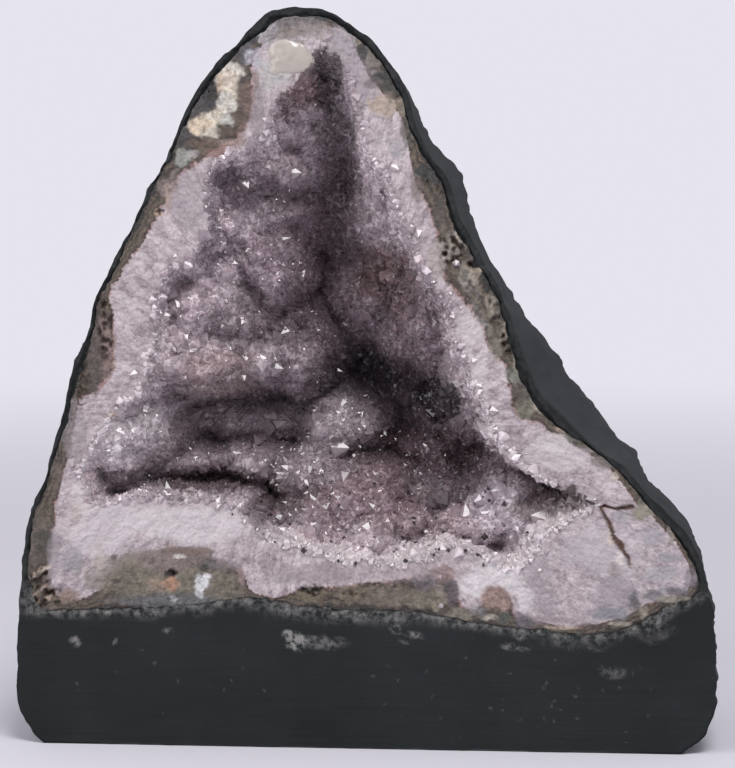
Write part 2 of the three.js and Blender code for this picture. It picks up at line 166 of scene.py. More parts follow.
# Patches of colour on the sawn rim: x, z, half width, half height, sRGB hex, strength
RIM_PATCHES = [
    # the apex and the cream agate to its left
    (-24, 241, 14, 4, "93888a", 0.7), (-16, 238.5, 7, 3, "8f8078", 0.7), (-7, 236, 5, 7, "a89ca2", 0.7),
    (-2, 225, 5, 9, "a3969e", 0.6), (-32, 238, 5, 3.5, "b3abb0", 0.8), (-38, 236, 2.6, 1.8, "47434c", 0.9),
    (-42.5, 232, 4, 3.4, "68656f", 0.8), (-38, 230, 4, 3.4, "b9b4c0", 0.8), (-48, 226, 6, 8, "5c5350", 0.9),
    (-56, 212, 7, 9, "564f4d", 0.9), (-52, 219, 4, 5, "36383e", 0.9), (-60, 204, 3, 5, "4e4a48", 0.9),
    (-41.4, 225, 1.6, 5, "4a3f42", 0.9), (-45.2, 226, 4.4, 3.4, "e0d6c6", 1),
    (-45.8, 220, 3.8, 5.6, "e2d0b8", 1), (-48.6, 221.5, 1.4, 4, "d8b494", 0.7),
    (-46.2, 214.6, 3.6, 4, "dcd4c6", 1), (-50, 210, 5, 3.4, "e0d0b6", 1),
    (-55, 207.4, 4.2, 3.2, "e4caa6", 1), (-51.5, 204.6, 3.6, 2.2, "dccfba", 0.9),
    (-46, 209.6, 2.8, 2.4, "cfcec6", 0.8), (-40.6, 215, 2.2, 6, "74584a", 0.9),
    (-41.8, 210, 2.6, 4, "6e5444", 0.9), (-46, 206, 3.4, 1.8, "5e4638", 0.9),
    (-52.6, 202, 6, 1.6, "6a5040", 0.9), (-36.5, 222, 1.2, 4, "8a6458", 0.7),
    (-43, 202, 6, 1.3, "a08478", 0.8), (-49, 198.6, 6, 1.8, "93695c", 0.9),
    (-36, 214, 2.4, 9, "8d7c80", 0.7), (-61.5, 197, 3.2, 3, "9c9c92", 1),
    (-57.5, 198.5, 2.4, 1.6, "b0a8a4", 0.8), (-66, 184, 1.2, 5, "b08a70", 0.8),
    (-69, 178.5, 1.6, 1.6, "c09878", 1), (-69, 178.5, 0.7, 0.7, "4a3828", 1),
    (-38, 197, 6, 3, "a3959b", 0.6), (-30, 226, 7, 6, "c2bdba", 0.9), (-26, 238, 5, 2, "8c7a6c", 0.6),
    (-14.5, 244, 4, 1.6, "3a3f3c", 0.9), (-24, 245, 8, 1.2, "454c4a", 0.8),
    # the skin down the right side
    (-1, 232.5, 2, 3.4, "4d4a48", 0.9), (4.4, 223.4, 3.4, 1.8, "3c4040", 0.9),
    (8.4, 219.6, 3, 1.8, "454542", 0.9), (2.6, 229, 2.4, 3.4, "8c8274", 0.8),
    (-2, 236, 1.6, 1.6, "9c8870", 0.8), (2.4, 221.5, 3, 1.8, "7c6a6c", 0.7),
    (6, 214.6, 5, 3.6, "b8a088", 0.9), (13, 213, 2.4, 4.6, "9c8c74", 0.8), (14, 205.6, 2, 5, "5c5648", 0.9),
    (11, 200, 3.4, 3.4, "a6a4aa", 0.5), (21, 191, 4, 4, "3c3f3c", 0.9), (17, 187.4, 2, 4.6, "7a6860", 0.7),
    (29, 167, 4, 5, "a89c90", 0.7), (38, 165, 4, 6, "6e6054", 0.7), (48, 137, 3, 4, "60544a", 0.7),
    (44, 143, 3, 12, "8c8474", 0.6), (50, 125, 4, 3, "8a8e80", 0.8), (55, 115, 4, 4, "84806a", 0.8),
    (52, 119, 3, 3, "5c5448", 0.8), (31, 170, 2, 3, "b5a48c", 0.8), (37, 159, 2, 4, "a8957c", 0.8),
    (42, 149, 1.8, 4, "b0a08a", 0.5), (64, 103, 5, 3, "e2dad8", 0.5), (47, 140, 1.6, 4, "9c8a74", 0.8),
    (51, 130, 1.6, 4, "a89680", 0.8), (58, 114.6, 2, 2, "b8a890", 0.8), (25, 178, 2, 7, "5f5650", 0.6),
    (33, 158, 2, 6, "a09484", 0.7), (24, 163, 3, 6, "b3a49c", 0.7), (65.6, 108, 1.8, 2.2, "a88c74", 0.9),
    (70.6, 105, 4, 2.6, "6d6a5c", 0.9), (76, 100.4, 4, 1.4, "948a86", 0.8), (80, 97, 5, 2, "8a7c78", 0.8),
    (83.4, 92, 1.6, 1.8, "cdb8a8", 0.9), (92.8, 80.6, 3.8, 3, "98907a", 1),
    (102, 73.6, 1.4, 3, "a39688", 0.8), (36, 128, 7, 20, "e2d9d9", 0.4), (62, 98, 12, 5, "ddd3d2", 0.4),
    # the thick quartz at the lower right
    (80, 66, 12, 10, "c2b8bd", 0.6), (85.8, 78, 2.8, 2.4, "aea6ac", 0.8), (95, 72, 5, 3, "b0a8b0", 0.8),
    (101, 65, 3.4, 1.4, "a09aa0", 0.8), (99, 60, 6.5, 3.4, "a6a5ab", 0.6),
    (108.6, 58, 2.4, 3.6, "8f848c", 0.8), (104, 54, 4.6, 1.8, "6f686e", 0.9),
    (96.4, 53, 3.4, 2.6, "5c5c62", 0.8), (99.8, 54.4, 0.9, 2.2, "b4aeb2", 0.8),
    (84, 53.6, 8, 6, "9a8d95", 0.6), (90, 50, 1.8, 3.4, "4f5254", 0.8), (81.6, 46.4, 6, 2.2, "80828a", 0.8),
    (83.4, 61, 1.8, 2.4, "a08a86", 0.7), (82.2, 72, 1, 3.4, "d8c4b0", 0.8),
    (85.4, 64.6, 1.9, 2, "e4d8d0", 0.9), (57, 60, 4.6, 7, "a0949a", 0.5), (61, 50, 4.6, 4.6, "a0949a", 0.5),
    (45, 58, 11, 7.5, "e0d7d9", 0.9), (54, 50, 2.6, 6, "d9d0d2", 0.8), (64, 44, 9, 2, "9a848a", 0.8),
    (53.4, 42.6, 3, 3.6, "736870", 0.9), (65, 41.4, 7, 0.9, "c4aa90", 0.9),
    (75.6, 42, 5, 1.5, "5d4a44", 0.8), (85.4, 43, 4, 0.9, "ada08a", 0.9),
    (93.2, 47.6, 1.6, 2.6, "a89a84", 0.8), (103.4, 51.4, 6, 1.0, "a39a88", 0.8),
    # the brown arches at the bottom
    (44.5, 50.6, 4.6, 4, "a27d70", 1), (26.6, 58.6, 4, 2.6, "8f6a60", 1),
    (30, 52.4, 2.6, 4.6, "5f555c", 0.9), (20.4, 56, 4, 3, "6f636a", 0.9), (17.6, 50, 5, 3, "847a64", 0.9),
    (24.4, 50, 3, 3.4, "8c8069", 0.9), (25.6, 54, 2, 1.6, "a08c86", 0.9), (32.6, 45.6, 5, 2, "8a7f6c", 0.9),
    (38.8, 46.4, 2.6, 1.6, "8c8e92", 0.7), (42.6, 44.6, 3, 1.1, "b9b09e", 0.9),
    (47, 44.4, 2, 1.8, "565c54", 0.8), (8, 51, 8, 4, "7d6c5c", 0.8), (-4, 52, 5, 3, "7d6a50", 0.8),
    (-18, 51.4, 5, 2.6, "77674a", 0.9), (-18, 53, 3, 1.2, "4c4038", 0.9), (-66, 55, 26, 9, "7f7460", 0.9),
    (-66, 62.6, 12, 3.6, "8b7470", 0.9), (-60, 65.6, 10, 1.3, "7d6458", 0.9),
    (-47, 60.6, 6, 2.4, "6e666a", 0.6), (-68, 48.4, 26, 2.4, "68686b", 0.8),
    (-69, 54, 4.4, 2.6, "a08468", 0.9), (-64.6, 54.6, 2.6, 2.2, "b87c4c", 1),
    (-64.7, 58, 2.2, 1.0, "2c1c16", 1), (-83.3, 55, 1.4, 0.6, "4a4238", 1),
    (-53.8, 60, 1.8, 1.2, "3c3430", 0.9), (-84.2, 63, 1, 1.6, "6a5248", 0.9),
    (-66, 67.6, 1, 1.4, "8a7068", 0.8), (-61.6, 63.6, 2.2, 0.9, "dfd8cc", 1),
    (-54.6, 55, 2.4, 2.4, "e4e4e4", 1), (-55.2, 52, 1.4, 2.2, "dedee0", 1),
    (-52.6, 57, 2, 0.8, "e4e4e4", 1), (-40.8, 56, 1.2, 4, "9c7f7c", 0.8),
    (-64, 49.4, 0.9, 1.2, "d0d0d4", 1),
    # the left side
    (-110, 60, 5, 18, "6b5c4e", 0.9), (-108, 68, 3, 4, "4c483c", 0.8), (-109, 44, 5, 5, "7a6450", 0.9),
    (-108.4, 41, 2.4, 2, "a08060", 0.9), (-99.6, 49.8, 4, 2.8, "8f7565", 1),
    (-104.6, 62, 1.8, 9, "968d94", 0.6), (-98.6, 62, 3.4, 5.4, "929094", 0.6),
    (-89.4, 63, 1.6, 5, "c0aea0", 0.8), (-96, 79, 4, 5, "c9b9ac", 0.5), (-109, 58.6, 1.2, 1, "cbb49a", 1),
    (-106.4, 59.4, 1, 0.8, "d2bda4", 1), (-111.6, 56, 1, 1.4, "c4aa8c", 1),
    (-108.6, 53, 1.2, 1.2, "c8ac94", 1), (-111, 50, 1.4, 1, "b8987c", 1),
    (-106.6, 49.4, 1, 1.2, "c0a48c", 1), (-87.4, 134, 4, 15, "93746f", 0.8),
    (-90.6, 130, 2, 12, "5a4c44", 0.8), (-85, 110, 1.6, 1.6, "a8762c", 1),
    (-100, 106, 3, 12, "54493f", 0.7), (-104, 92, 2.4, 8, "6f5c50", 0.7), (-58, 184, 9, 9, "a5979d", 0.5),
    (-66, 187, 6, 3, "a08880", 0.5), (0, 59, 30, 3, "b59ea2", 0.4), (-16, 58, 12, 4, "9a878a", 0.5),
    (-88, 75, 10, 12, "ddd3d6", 0.5), (-60, 74, 20, 6, "e0d7d9", 0.6), (-98, 106, 4, 12, "9c8d92", 0.6),
]

# Patches of colour in the druse. Some are real stains; the rest are painted shade in the dark pockets,
# seams and shadow bands of the hollow, and painted light on lobes that would fall too dark: x, z, half
# width, half height, sRGB hex, strength
DRUSE_STAINS_SHADE_AND_LIGHT = [
    (-82, 106, 18, 12, "eae0e4", 1.0), (-66, 131, 12, 11, "cbb9bd", 0.5), (-62, 146, 9, 9, "c9b7be", 0.5),
    (-52, 123, 15, 9, "c3adab", 0.6), (-22, 163, 12, 16, "9a848e", 0.7), (-22, 219, 9, 9, "85686a", 0.8),
    (-12, 224, 6, 12, "54484d", 0.8), (-12, 206, 8, 8, "4c4147", 0.6), (-8, 192, 7, 8, "5a4c54", 0.5),
    (-55, 173, 7, 15, "6f5f6e", 0.6), (-46, 189, 7, 5, "6a5863", 0.7), (-37, 189, 6, 4, "a08e96", 0.7),
    (-38, 186, 10, 8, "9b8790", 0.3), (7, 154, 14, 13, "876a68", 0.7), (13, 133, 10, 12, "8d7078", 0.4),
    (22, 137, 8, 16, "c9b3bb", 0.5), (-34, 141, 16, 9, "77646a", 0.5), (-35, 161, 11, 12, "b09ca5", 0.7),
    (-13, 103, 13, 12, "cfc1c7", 0.8), (-52, 86, 24, 5, "6e5c62", 0.9), (-44, 106, 24, 7, "c2b4ba", 0.8),
    (22, 114, 11, 10, "282025", 0.85), (24, 87, 20, 8, "54434a", 0.75), (14, 96, 24, 6, "5e474e", 0.7),
    (14, 143, 12, 16, "907c84", 0.5), (16, 74, 22, 7, "9c8086", 0.6), (-8, 79, 18, 6, "8f7179", 0.5),
    (52, 76, 17, 12, "dccfd6", 0.9), (62, 80, 12, 5, "a3908c", 0.7), (60, 88.5, 6, 2.4, "46372f", 0.9),
    (67, 86, 5, 2, "46372f", 0.9), (74.5, 83.6, 4.5, 1.6, "4a3a30", 0.9), (3, 85, 13, 7, "a88e92", 0.5),
    (-18, 69, 12, 4, "b79ea4", 0.5), (-30, 78, 12, 4, "66545a", 0.5), (38, 92, 16, 5, "6d5960", 0.6),
    (-6, 122, 12, 11, "453c42", 0.7), (8, 122, 14, 8, "3a3238", 0.6), (-82, 88, 10, 4, "7a6c73", 0.8),
    (-22, 184, 12, 5, "7c6a73", 0.4), (-46, 112, 14, 4, "665a60", 0.5), (-85.2, 111, 1.8, 1.8, "b07a24", 1),
    (-34, 182, 10, 7, "6a5a62", 0.5), (-26, 82, 14, 5, "6a555a", 0.5),
]

# Where the crust starts dark right behind the lip: x, z, half width, half height
SHADED_LIP = [
    (-62, 86, 36, 7), (-12, 222, 16, 20), (-48, 188, 12, 9), (66, 86, 15, 3), (-40, 200, 8, 5),
    (-36, 78, 6, 7),
]

# Larger crystals, each with a face that catches the light: x, z, width
GLINTS = [
    (-79.4, 114, 9), (-64, 108, 11), (-66.5, 152, 8), (-69, 150.5, 6), (-61.7, 124, 5), (-42.6, 128.6, 5),
    (-43.3, 123, 7), (-32.4, 125.6, 7), (-35.5, 148.4, 5), (-12, 97.3, 9), (-50.5, 108, 5), (-9, 87.8, 6),
    (-82.8, 105, 5), (-64.7, 133, 4), (-22, 86, 4), (-27, 128.3, 5), (45, 86, 8), (49.6, 85, 6),
    (38, 82.2, 6), (33.6, 77.5, 7), (59, 77.5, 9), (58, 83.2, 5), (56.3, 68.8, 6), (50.3, 70.2, 6),
    (21.5, 98, 6), (27.5, 98, 4), (24.5, 92, 6), (45.3, 96.6, 4), (41.3, 100, 4), (15, 145, 7),
    (-37, 147, 5), (1, 165, 6), (-1, 163, 5), (9, 159, 5), (-26, 192, 6), (-48, 184, 5), (-12, 177, 5),
    (26, 121, 6), (31, 108, 6), (6, 119, 5), (-20, 120, 4), (12, 106, 4), (18, 172, 4), (-54, 140, 4),
    (-30, 137, 5), (0, 72, 6), (-19, 80, 6), (-86, 103, 4),
]

# Dark iron-oxide grains: from (x, z) to (x, z), how far they stray, how many, width of a grain
SPECK_RUNS = [
    (-34, 172, -34, 172, 0.1, 1, 1.5), (-27, 170, -27, 170, 0.1, 1, 1.5), (-45, 191, -45, 191, 1, 2, 1.3),
    (-26, 219, -24, 218, 1, 3, 1.2), (-86, 85, -45, 85, 1.6, 26, 0.8), (-44, 78, -22, 70, 3, 16, 0.9),
    (-20, 66, 12, 64, 3, 30, 1.0), (10, 68, 42, 80, 5, 60, 1.1), (14, 63, 38, 68, 3, 20, 0.9),
    (-10, 84, 30, 88, 6, 26, 0.9), (40, 62, 60, 78, 4, 16, 0.9), (-2, 150, 12, 158, 8, 30, 0.8),
    (20, 140, 26, 120, 6, 14, 0.8), (-50, 184, -30, 192, 4, 8, 0.7), (-75, 106, -58, 94, 6, 8, 0.7),
]

# Holes weathered into the agate: x, z, half width, half height, depth
VUGS = [
    (-109, 52, 4, 9, 2.2), (-104, 50, 4, 3, 1.6), (-64.7, 58, 2.6, 1.4, 2.6), (-18, 53, 4, 1.8, 1.8),
    (-4, 51, 3, 2, 1.2), (29, 167, 5, 5, 2.0), (38, 165, 4, 6, 2.6), (48, 137, 3, 4, 2.0),
    (44, 148, 3, 8, 1.4), (-87, 141, 2, 10, 1.6), (-95, 122, 2, 8, 1.4), (23, 189, 3, 4, 1.0),
    (-69, 178.5, 1.4, 1.4, 1.4), (-52, 219, 3, 4, 1.0), (-83.3, 55, 1.6, 0.9, 1.2), (70, 105, 4, 3, 1.2),
]

# Pale dusty scuffs on the sawn cement: x, z, half width, half height, strength
SCUFFS = [
    (-23, 36, 3.2, 3.2, 3.0), (-14, 35, 8, 2, 0.9), (-97.3, 34.6, 2, 1.9, 1.1), (-66, 38.6, 1.8, 1, 0.9),
    (-83.6, 34.8, 0.7, 0.7, 1.2), (-85.8, 44, 1, 0.9, 0.9), (83, 27, 4, 2, 0.6), (11, 40.4, 2.6, 1.2, 1.2),
    (16.4, 38.2, 3, 1.2, 1.2), (13.4, 35.8, 1.4, 0.8, 0.9), (48.4, 35, 3.4, 1.2, 0.9),
    (53, 34.4, 2.6, 1, 0.8), (52.6, 37.8, 1.6, 1, 1.0), (96, 40, 8, 3, 0.3), (70, 36, 10, 2, 0.3),
]

# Open cracks in the lower right quartz: corners along each as (x, z, half width)
CRACKS = [
    [(79, 81.6, 0.35), (81.7, 76.8, 0.4), (83.1, 72.2, 0.6), (84.9, 69.5, 1.1), (87.6, 65.4, 0.8),
     (88.5, 62, 0.2)],
    [(78.5, 82.4, 0.4), (84, 81.4, 0.15), (89.4, 81.5, 0.45)],
]


# ---------------------------------------------------------------------------------- colours and settings
def linear(code):
    """Linear colour of an sRGB hex code: each channel through the sRGB curve."""
    channels = np.array([int(code[i:i + 2], 16) for i in (0, 2, 4)]) / 255
    curve = np.where(channels <= 0.04045, channels / 12.92, ((channels + 0.055) / 1.055) ** 2.4)
    return (*curve.tolist(), 1.0)


class GEODE_PG_stone(PropertyGroup):
    """Sizes of the stone's grain and skin, in metres."""
    fine_point: FloatProperty(
        name="Fine points", description="Width across a small crystal point",
        default=1.9 * MM, min=0.8 * MM, unit="LENGTH")
    coarse_point: FloatProperty(
        name="Coarse points", description="Width across a larger crystal point",
        default=3.1 * MM, min=1.5 * MM, unit="LENGTH")
    cement_grit: FloatProperty(
        name="Cement lumps", description="Spacing of the lumps on the trowelled cement",
        default=8 * MM, min=1 * MM, unit="LENGTH")
    cement_relief: FloatProperty(
        name="Cement relief", description="Height of the lumps on the trowelled cement",
        default=1.1 * MM, min=0, unit="LENGTH")
    seed: IntProperty(name="Seed", description="Start of every random draw", default=7)


class GEODE_PG_colours(PropertyGroup):
    """Colours of the materials, as sRGB hex codes."""
    cement: StringProperty(name="Cement", description="Trowelled dark grey cement", default="404244")
    cement_sawn: StringProperty(name="Sawn cement", description="Smoothed by the saw", default="242728")
    cement_dust: StringProperty(name="Dust", description="Chalky dust on the cement", default="8a8886")
    quartz: StringProperty(name="Quartz", description="Milky quartz band", default="dacdd0")
    quartz_shade: StringProperty(name="Quartz shade", description="Greyer quartz", default="998a8f")
    agate: StringProperty(name="Agate", description="Olive-tan agate skin", default="6f6355")
    agate_dark: StringProperty(name="Agate dark", description="Brown agate bands", default="453a34")
    agate_pink: StringProperty(name="Agate pink", description="Pink-brown agate bands", default="a8867e")
    amethyst_pale: StringProperty(name="Pale amethyst", description="Near the lip", default="e6d6dc")
    # The deep colour stands partly for painted shade where the hollow is deep
    amethyst_deep: StringProperty(name="Deep amethyst", description="In the hollow", default="98868e")
    nodule: StringProperty(name="Chalcedony", description="Grey-cream nodule", default="ccc4bd")


class GEODE_PG_studio(PropertyGroup):
    """The studio round the stone."""
    backdrop: StringProperty(name="Backdrop", description="Pale backdrop", default="e6e4ee")
    key_power: FloatProperty(name="Key", description="Power of the main softbox", default=9.5, unit="POWER")
    fill_power: FloatProperty(name="Fill", description="Power of the left softbox", default=7, unit="POWER")
    ambient: FloatProperty(name="Ambient", description="Light from all round", default=0.52, min=0)


# ------------------------------------------------------------------------------------ curves and noise
def closed_curve(points, count):
    """Closed curve through the points, at even steps of length. Each span is a cubic Hermite curve whose
    end tangents weigh the neighbouring chords by the square roots of their lengths."""
    p1 = np.asarray(points, float)
    p0, p2, p3 = np.roll(p1, 1, 0), np.roll(p1, -1, 0), np.roll(p1, -2, 0)
    chords = ((p0, p1), (p1, p2), (p2, p3))
    d0, d1, d2 = (np.sqrt(np.linalg.norm(b - a, axis=1))[:, None] for a, b in chords)
    m1 = ((p1 - p0) / d0 - (p2 - p0) / (d0 + d1) + (p2 - p1) / d1) * d1
    m2 = ((p2 - p1) / d1 - (p3 - p1) / (d1 + d2) + (p3 - p2) / d2) * d1
    t = np.linspace(0, 1, 24, endpoint=False)[None, :, None]
    span = ((2 * t**3 - 3 * t**2 + 1) * p1[:, None] + (t**3 - 2 * t**2 + t) * m1[:, None]
            + (3 * t**2 - 2 * t**3) * p2[:, None] + (t**3 - t**2) * m2[:, None])
    loop = span.reshape(-1, 2)
    loop = np.vstack([loop, loop[:1]])
    length = np.concatenate([[0], np.cumsum(np.linalg.norm(np.diff(loop, axis=0), axis=1))])
    even = np.linspace(0, length[-1], count, endpoint=False)
    return np.stack([np.interp(even, length, loop[:, axis]) for axis in (0, 1)], 1)


def radius_at(points, centre, angle):
    """Distance from the centre to a closed outline in the given directions: the outline's own angles and
    distances, interpolated."""
    loop = closed_curve(points, 1600) - centre
    turn = np.unwrap(np.arctan2(loop[:, 1], loop[:, 0]))
    reach = np.hypot(*loop.T)
    order = np.argsort(turn)
    return np.interp(angle, turn[order], reach[order], period=2 * math.pi)


def lattice_value(cell, seed):
    """A repeatable random number from 0 to 1 for each whole-number cell, by integer hashing."""
    key = cell.astype(np.int64).astype(np.uint64) * np.array([73856093, 19349663, 83492791], np.uint64)
    mixed = key[..., 0] ^ key[..., 1] ^ key[..., 2] ^ np.uint64(seed * 2654435761)
    mixed = (mixed ^ (mixed >> np.uint64(15))) * np.uint64(0x2C1B3C6D)
    mixed = (mixed ^ (mixed >> np.uint64(12))) * np.uint64(0x297A2D39)
    return ((mixed >> np.uint64(15)) & np.uint64(0xFFFFFF)) / float(0xFFFFFF)


def noise(points, size, seed, octaves=1):
    """Smooth noise from -1 to 1: random values on a cubic lattice of the given size, blended with a fifth
    degree fade. Each further octave halves the lattice and the strength. Every use has its own seed, so
    that no two layers line up."""
    total, strength, weight = 0.0, 1.0, 0.0
    for octave in range(octaves):
        place = points / (size * 0.5**octave) + 37.31 * octave
        base = np.floor(place)
        t = place - base
        t = t * t * t * (t * (6 * t - 15) + 10)
        value = 0.0
        for corner in range(8):
            offset = np.array([corner & 1, corner >> 1 & 1, corner >> 2 & 1])
            share = np.prod(np.where(offset, t, 1 - t), axis=-1)
            value = value + share * lattice_value(base + offset, seed + octave)
        total = total + strength * (2 * value - 1)
        weight += strength
        strength *= 0.5
    return total / weight


def cells(points, size, seed):
    """Distance to the nearest of points scattered one to a lattice cell, in cell sizes, and a random number
    for that point."""
    place = points / size
    base = np.floor(place)
    nearest = np.full(place.shape[:-1], 9.0)
    tag = nearest.copy()
    for step in range(27):
        cell = base + np.array([step % 3 - 1, step // 3 % 3 - 1, step // 9 - 1])
        seedling = cell + np.stack([lattice_value(cell, seed + axis) for axis in (1, 2, 3)], -1)
        gap = np.linalg.norm(place - seedling, axis=-1)
        closer = gap < nearest
        tag = np.where(closer, lattice_value(cell, seed + 4), tag)
        nearest = np.minimum(nearest, gap)
    return nearest, tag


def flat_points(x, z):
    """Points of the sawn plane as rows of three, for the noise functions."""
    return np.stack([x, np.zeros_like(x), z], -1)


def ease(low, high, value):
    """Smooth step from 0 at low to 1 at high."""
    t = np.clip((value - low) / (high - low), 0, 1)
    return t * t * (3 - 2 * t)


def blot(x, z, patch, seed, fade=0.25):
    """Strength of a ragged elliptical patch: 1 inside, fading out where the elliptical distance, shaken by
    noise, passes 1."""
    px, pz, half_width, half_height = patch[:4]
    distance = np.hypot((x - px) / half_width, (z - pz) / half_height)
    strength = np.zeros(distance.shape)
    near = distance < 2
    place = flat_points(x[near], z[near])
    wander = 0.5 * noise(place, 0.8 * max(half_width, half_height), seed, 2)
    wander = wander + 0.14 * noise(place, 1.1, seed + 5)
    strength[near] = 1 - ease(0.95 - fade, 0.95 + fade, distance[near] + wander)
    return strength


# --------------------------------------------------------------------------------------- mesh building
def mesh_object(name, corners, *faces, smooth=True):
    """A new mesh object from whole arrays: corners in millimetres, and arrays of quads or triangles."""
    if not len(corners) or not np.isfinite(corners).all():
        raise ValueError(f"{name} has no corners, or some that are not finite")
    mesh = bpy.data.meshes.new(name)
    sizes = np.concatenate([np.full(len(array), array.shape[1]) for array in faces])
    loops = np.concatenate([array.ravel() for array in faces]).astype(np.int32)
    mesh.vertices.add(len(corners))
    mesh.vertices.foreach_set("co", (corners * MM).astype(np.float32).ravel())
    mesh.loops.add(len(loops))
    mesh.loops.foreach_set("vertex_index", loops)
    mesh.polygons.add(len(sizes))
    mesh.polygons.foreach_set("loop_start", (np.cumsum(sizes) - sizes).astype(np.int32))
    mesh.polygons.foreach_set("use_smooth", np.full(len(sizes), smooth))
    mesh.update(calc_edges=True)
    mesh.validate()
    piece = bpy.data.objects.new(name, mesh)
    bpy.context.scene.collection.objects.link(piece)
    return piece


def grid_faces(rows, columns, turned=False):
    """Quads of a grid whose columns close on themselves."""
    row, column = np.meshgrid(np.arange(rows - 1), np.arange(columns), indexing="ij")
    beside = (column + 1) % columns
    quads = np.stack([row * columns + column, (row + 1) * columns + column,
                      (row + 1) * columns + beside, row * columns + beside], -1).reshape(-1, 4)
    return quads[:, ::-1] if turned else quads


def fan_faces(start, columns, pole, turned=False):
    """Triangles from a closed row of corners to one pole."""
    column = np.arange(columns)
    fan = np.stack([start + column, np.full(columns, pole), start + (column + 1) % columns], -1)
    return fan[:, ::-1] if turned else fan


def closed_grid(name, grid, poles, turned=False):
    """A closed piece from a grid whose columns close on themselves. Its first row closes on the first pole
    and its last row on the second."""
    rows, columns = grid.shape[:2]
    total = rows * columns
    return mesh_object(name, np.vstack([grid.reshape(-1, 3), poles]), grid_faces(rows, columns, turned),
                       fan_faces(0, columns, total, not turned),
                       fan_faces(total - columns, columns, total + 1, turned))


def grid_normals(grid):
    """Unit normals of a grid that closes on itself along its second axis: the cross product of the two
    central differences."""
    along = np.roll(grid, -1, 1) - np.roll(grid, 1, 1)
    across = np.gradient(grid, axis=0)
    normal = np.cross(along, across)
    return normal / np.maximum(np.linalg.norm(normal, axis=-1, keepdims=True), 1e-9)


def store(piece, name, values, kind="FLOAT"):
    """Keeps an array on the mesh as a point attribute."""
    attribute = piece.data.attributes.new(name, kind, "POINT")
    field = {"FLOAT": "value", "FLOAT_VECTOR": "vector", "FLOAT_COLOR": "color"}[kind]
    attribute.data.foreach_set(field, np.asarray(values, np.float32).ravel())


def finish_piece(piece, material, node):
    """Gives a finished piece its material in a slot, puts it on the root body and hides the CAD part of its
    node.
    """
    piece.data.materials.append(material)
    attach(piece, "root")
    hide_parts(node)


# ------------------------------------------------------------------------------------------ the surfaces
def face_y(z):
    """The sawn plane: it starts at the front of the foot and leans back."""
    return -HALF_DEPTH + z * FACE_LEAN


def body_depth(z):
    """From the sawn face to the back of the body: level below the shoulder, sloping above it, joined by a
    softplus curve."""
    softplus = np.logaddexp(0, (z - SHOULDER_HEIGHT) / SHOULDER_ROUNDING) - math.log(2)
    return 2 * HALF_DEPTH - SHOULDER_HEIGHT * FACE_LEAN - BACK_SLOPE * SHOULDER_ROUNDING * softplus


def body_rows(outline, backs):
    """The cement's outside: the outline narrows towards the core as it goes back, by the root of one less
    the fourth power of the fraction gone back, and swells on the right flank."""
    back = backs[:, None]
    scale = (1 - back**4) ** (1 / 2.6)
    away = outline - np.array([CORE_X, SHOULDER_HEIGHT])
    angle = np.arctan2(away[:, 1], away[:, 0])
    swell = sum(height * np.exp(-((angle - middle) / spread) ** 2)
                for height, middle, spread in FLANK_BULGES)
    bulge = swell * np.sin(math.pi * np.minimum(1, back * 1.1) ** 0.6)
    x = CORE_X + away[:, 0] * scale + bulge * np.cos(angle)
    z = SHOULDER_HEIGHT + away[:, 1] * scale + bulge * np.sin(angle)
    y = np.minimum(face_y(z) + back * body_depth(z), HALF_DEPTH)
    return np.stack([x, y, z], -1)


def stone_rows(outline, backs):
    """The stone's outside in the cement: the outline shrinks to the stone's centre as it goes back."""
    scale = (1 - backs[:, None] ** 2.6) ** (1 / 2.1)
    x = STONE_CENTRE[0] + (outline[:, 0] - STONE_CENTRE[0]) * scale
    z = STONE_CENTRE[1] + (outline[:, 1] - STONE_CENTRE[1]) * scale
    y = face_y(z) + backs[:, None] * (body_depth(z) - CEMENT_BACK)
    return np.stack([x, y, z], -1)


def stone_pole():
    """The hindmost place of the stone's outside."""
    return stone_rows(STONE_CENTRE[None], np.array([1.0])).reshape(3)


def stone_reach(angle):
    """Distance from the stone's centre to its outer edge: the skin laps over the cement, and stops short of
    the cement's own edge."""
    rim = radius_at(CEMENT_EDGE, STONE_CENTRE, angle) - RIM_INSET
    return np.minimum(radius_at(STONE_EDGE, STONE_CENTRE, angle) + LAP, rim)


def bowl_rows(lip, shares, behind):
    """Rows that close a crust from behind: the lip shrunk towards the middle, on the bowl that the masses
    of crystal stand in, moved back."""
    share = shares[:, None]
    x = HOLLOW_CENTRE[0] + (lip[:, 0] - HOLLOW_CENTRE[0]) * share
    z = HOLLOW_CENTRE[1] + (lip[:, 1] - HOLLOW_CENTRE[1]) * share
    full = HOLLOW_DEPTH - HOLLOW_TAPER * np.maximum(0, z - HOLLOW_FULL_HEIGHT)
    return np.stack([x, face_y(z) + full * (1 - share**4) + behind, z], -1)


def edge_gap(points, x, z):
    """Distance from (x, z) to a closed outline, positive outside: the least distance to the curve's
    corners, signed by whether a line towards +X crosses the curve an odd number of times."""
    loop = closed_curve(points, 420)
    after = np.roll(loop, -1, 0)
    gap = np.empty(x.shape)
    for row in range(len(x)):  # one grid row at a time keeps the arrays small
        px, pz = x[row][:, None], z[row][:, None]
        least = np.hypot(px - loop[:, 0], pz - loop[:, 1]).min(1)
        spans = (loop[:, 1] > pz) != (after[:, 1] > pz)
        with np.errstate(divide="ignore", invalid="ignore"):
            cross = loop[:, 0] + (pz - loop[:, 1]) * (after[:, 0] - loop[:, 0]) / (after[:, 1] - loop[:, 1])
        odd = (spans & (px < cross)).sum(1) % 2 == 1
        gap[row] = np.where(odd, -least, least)
    return gap


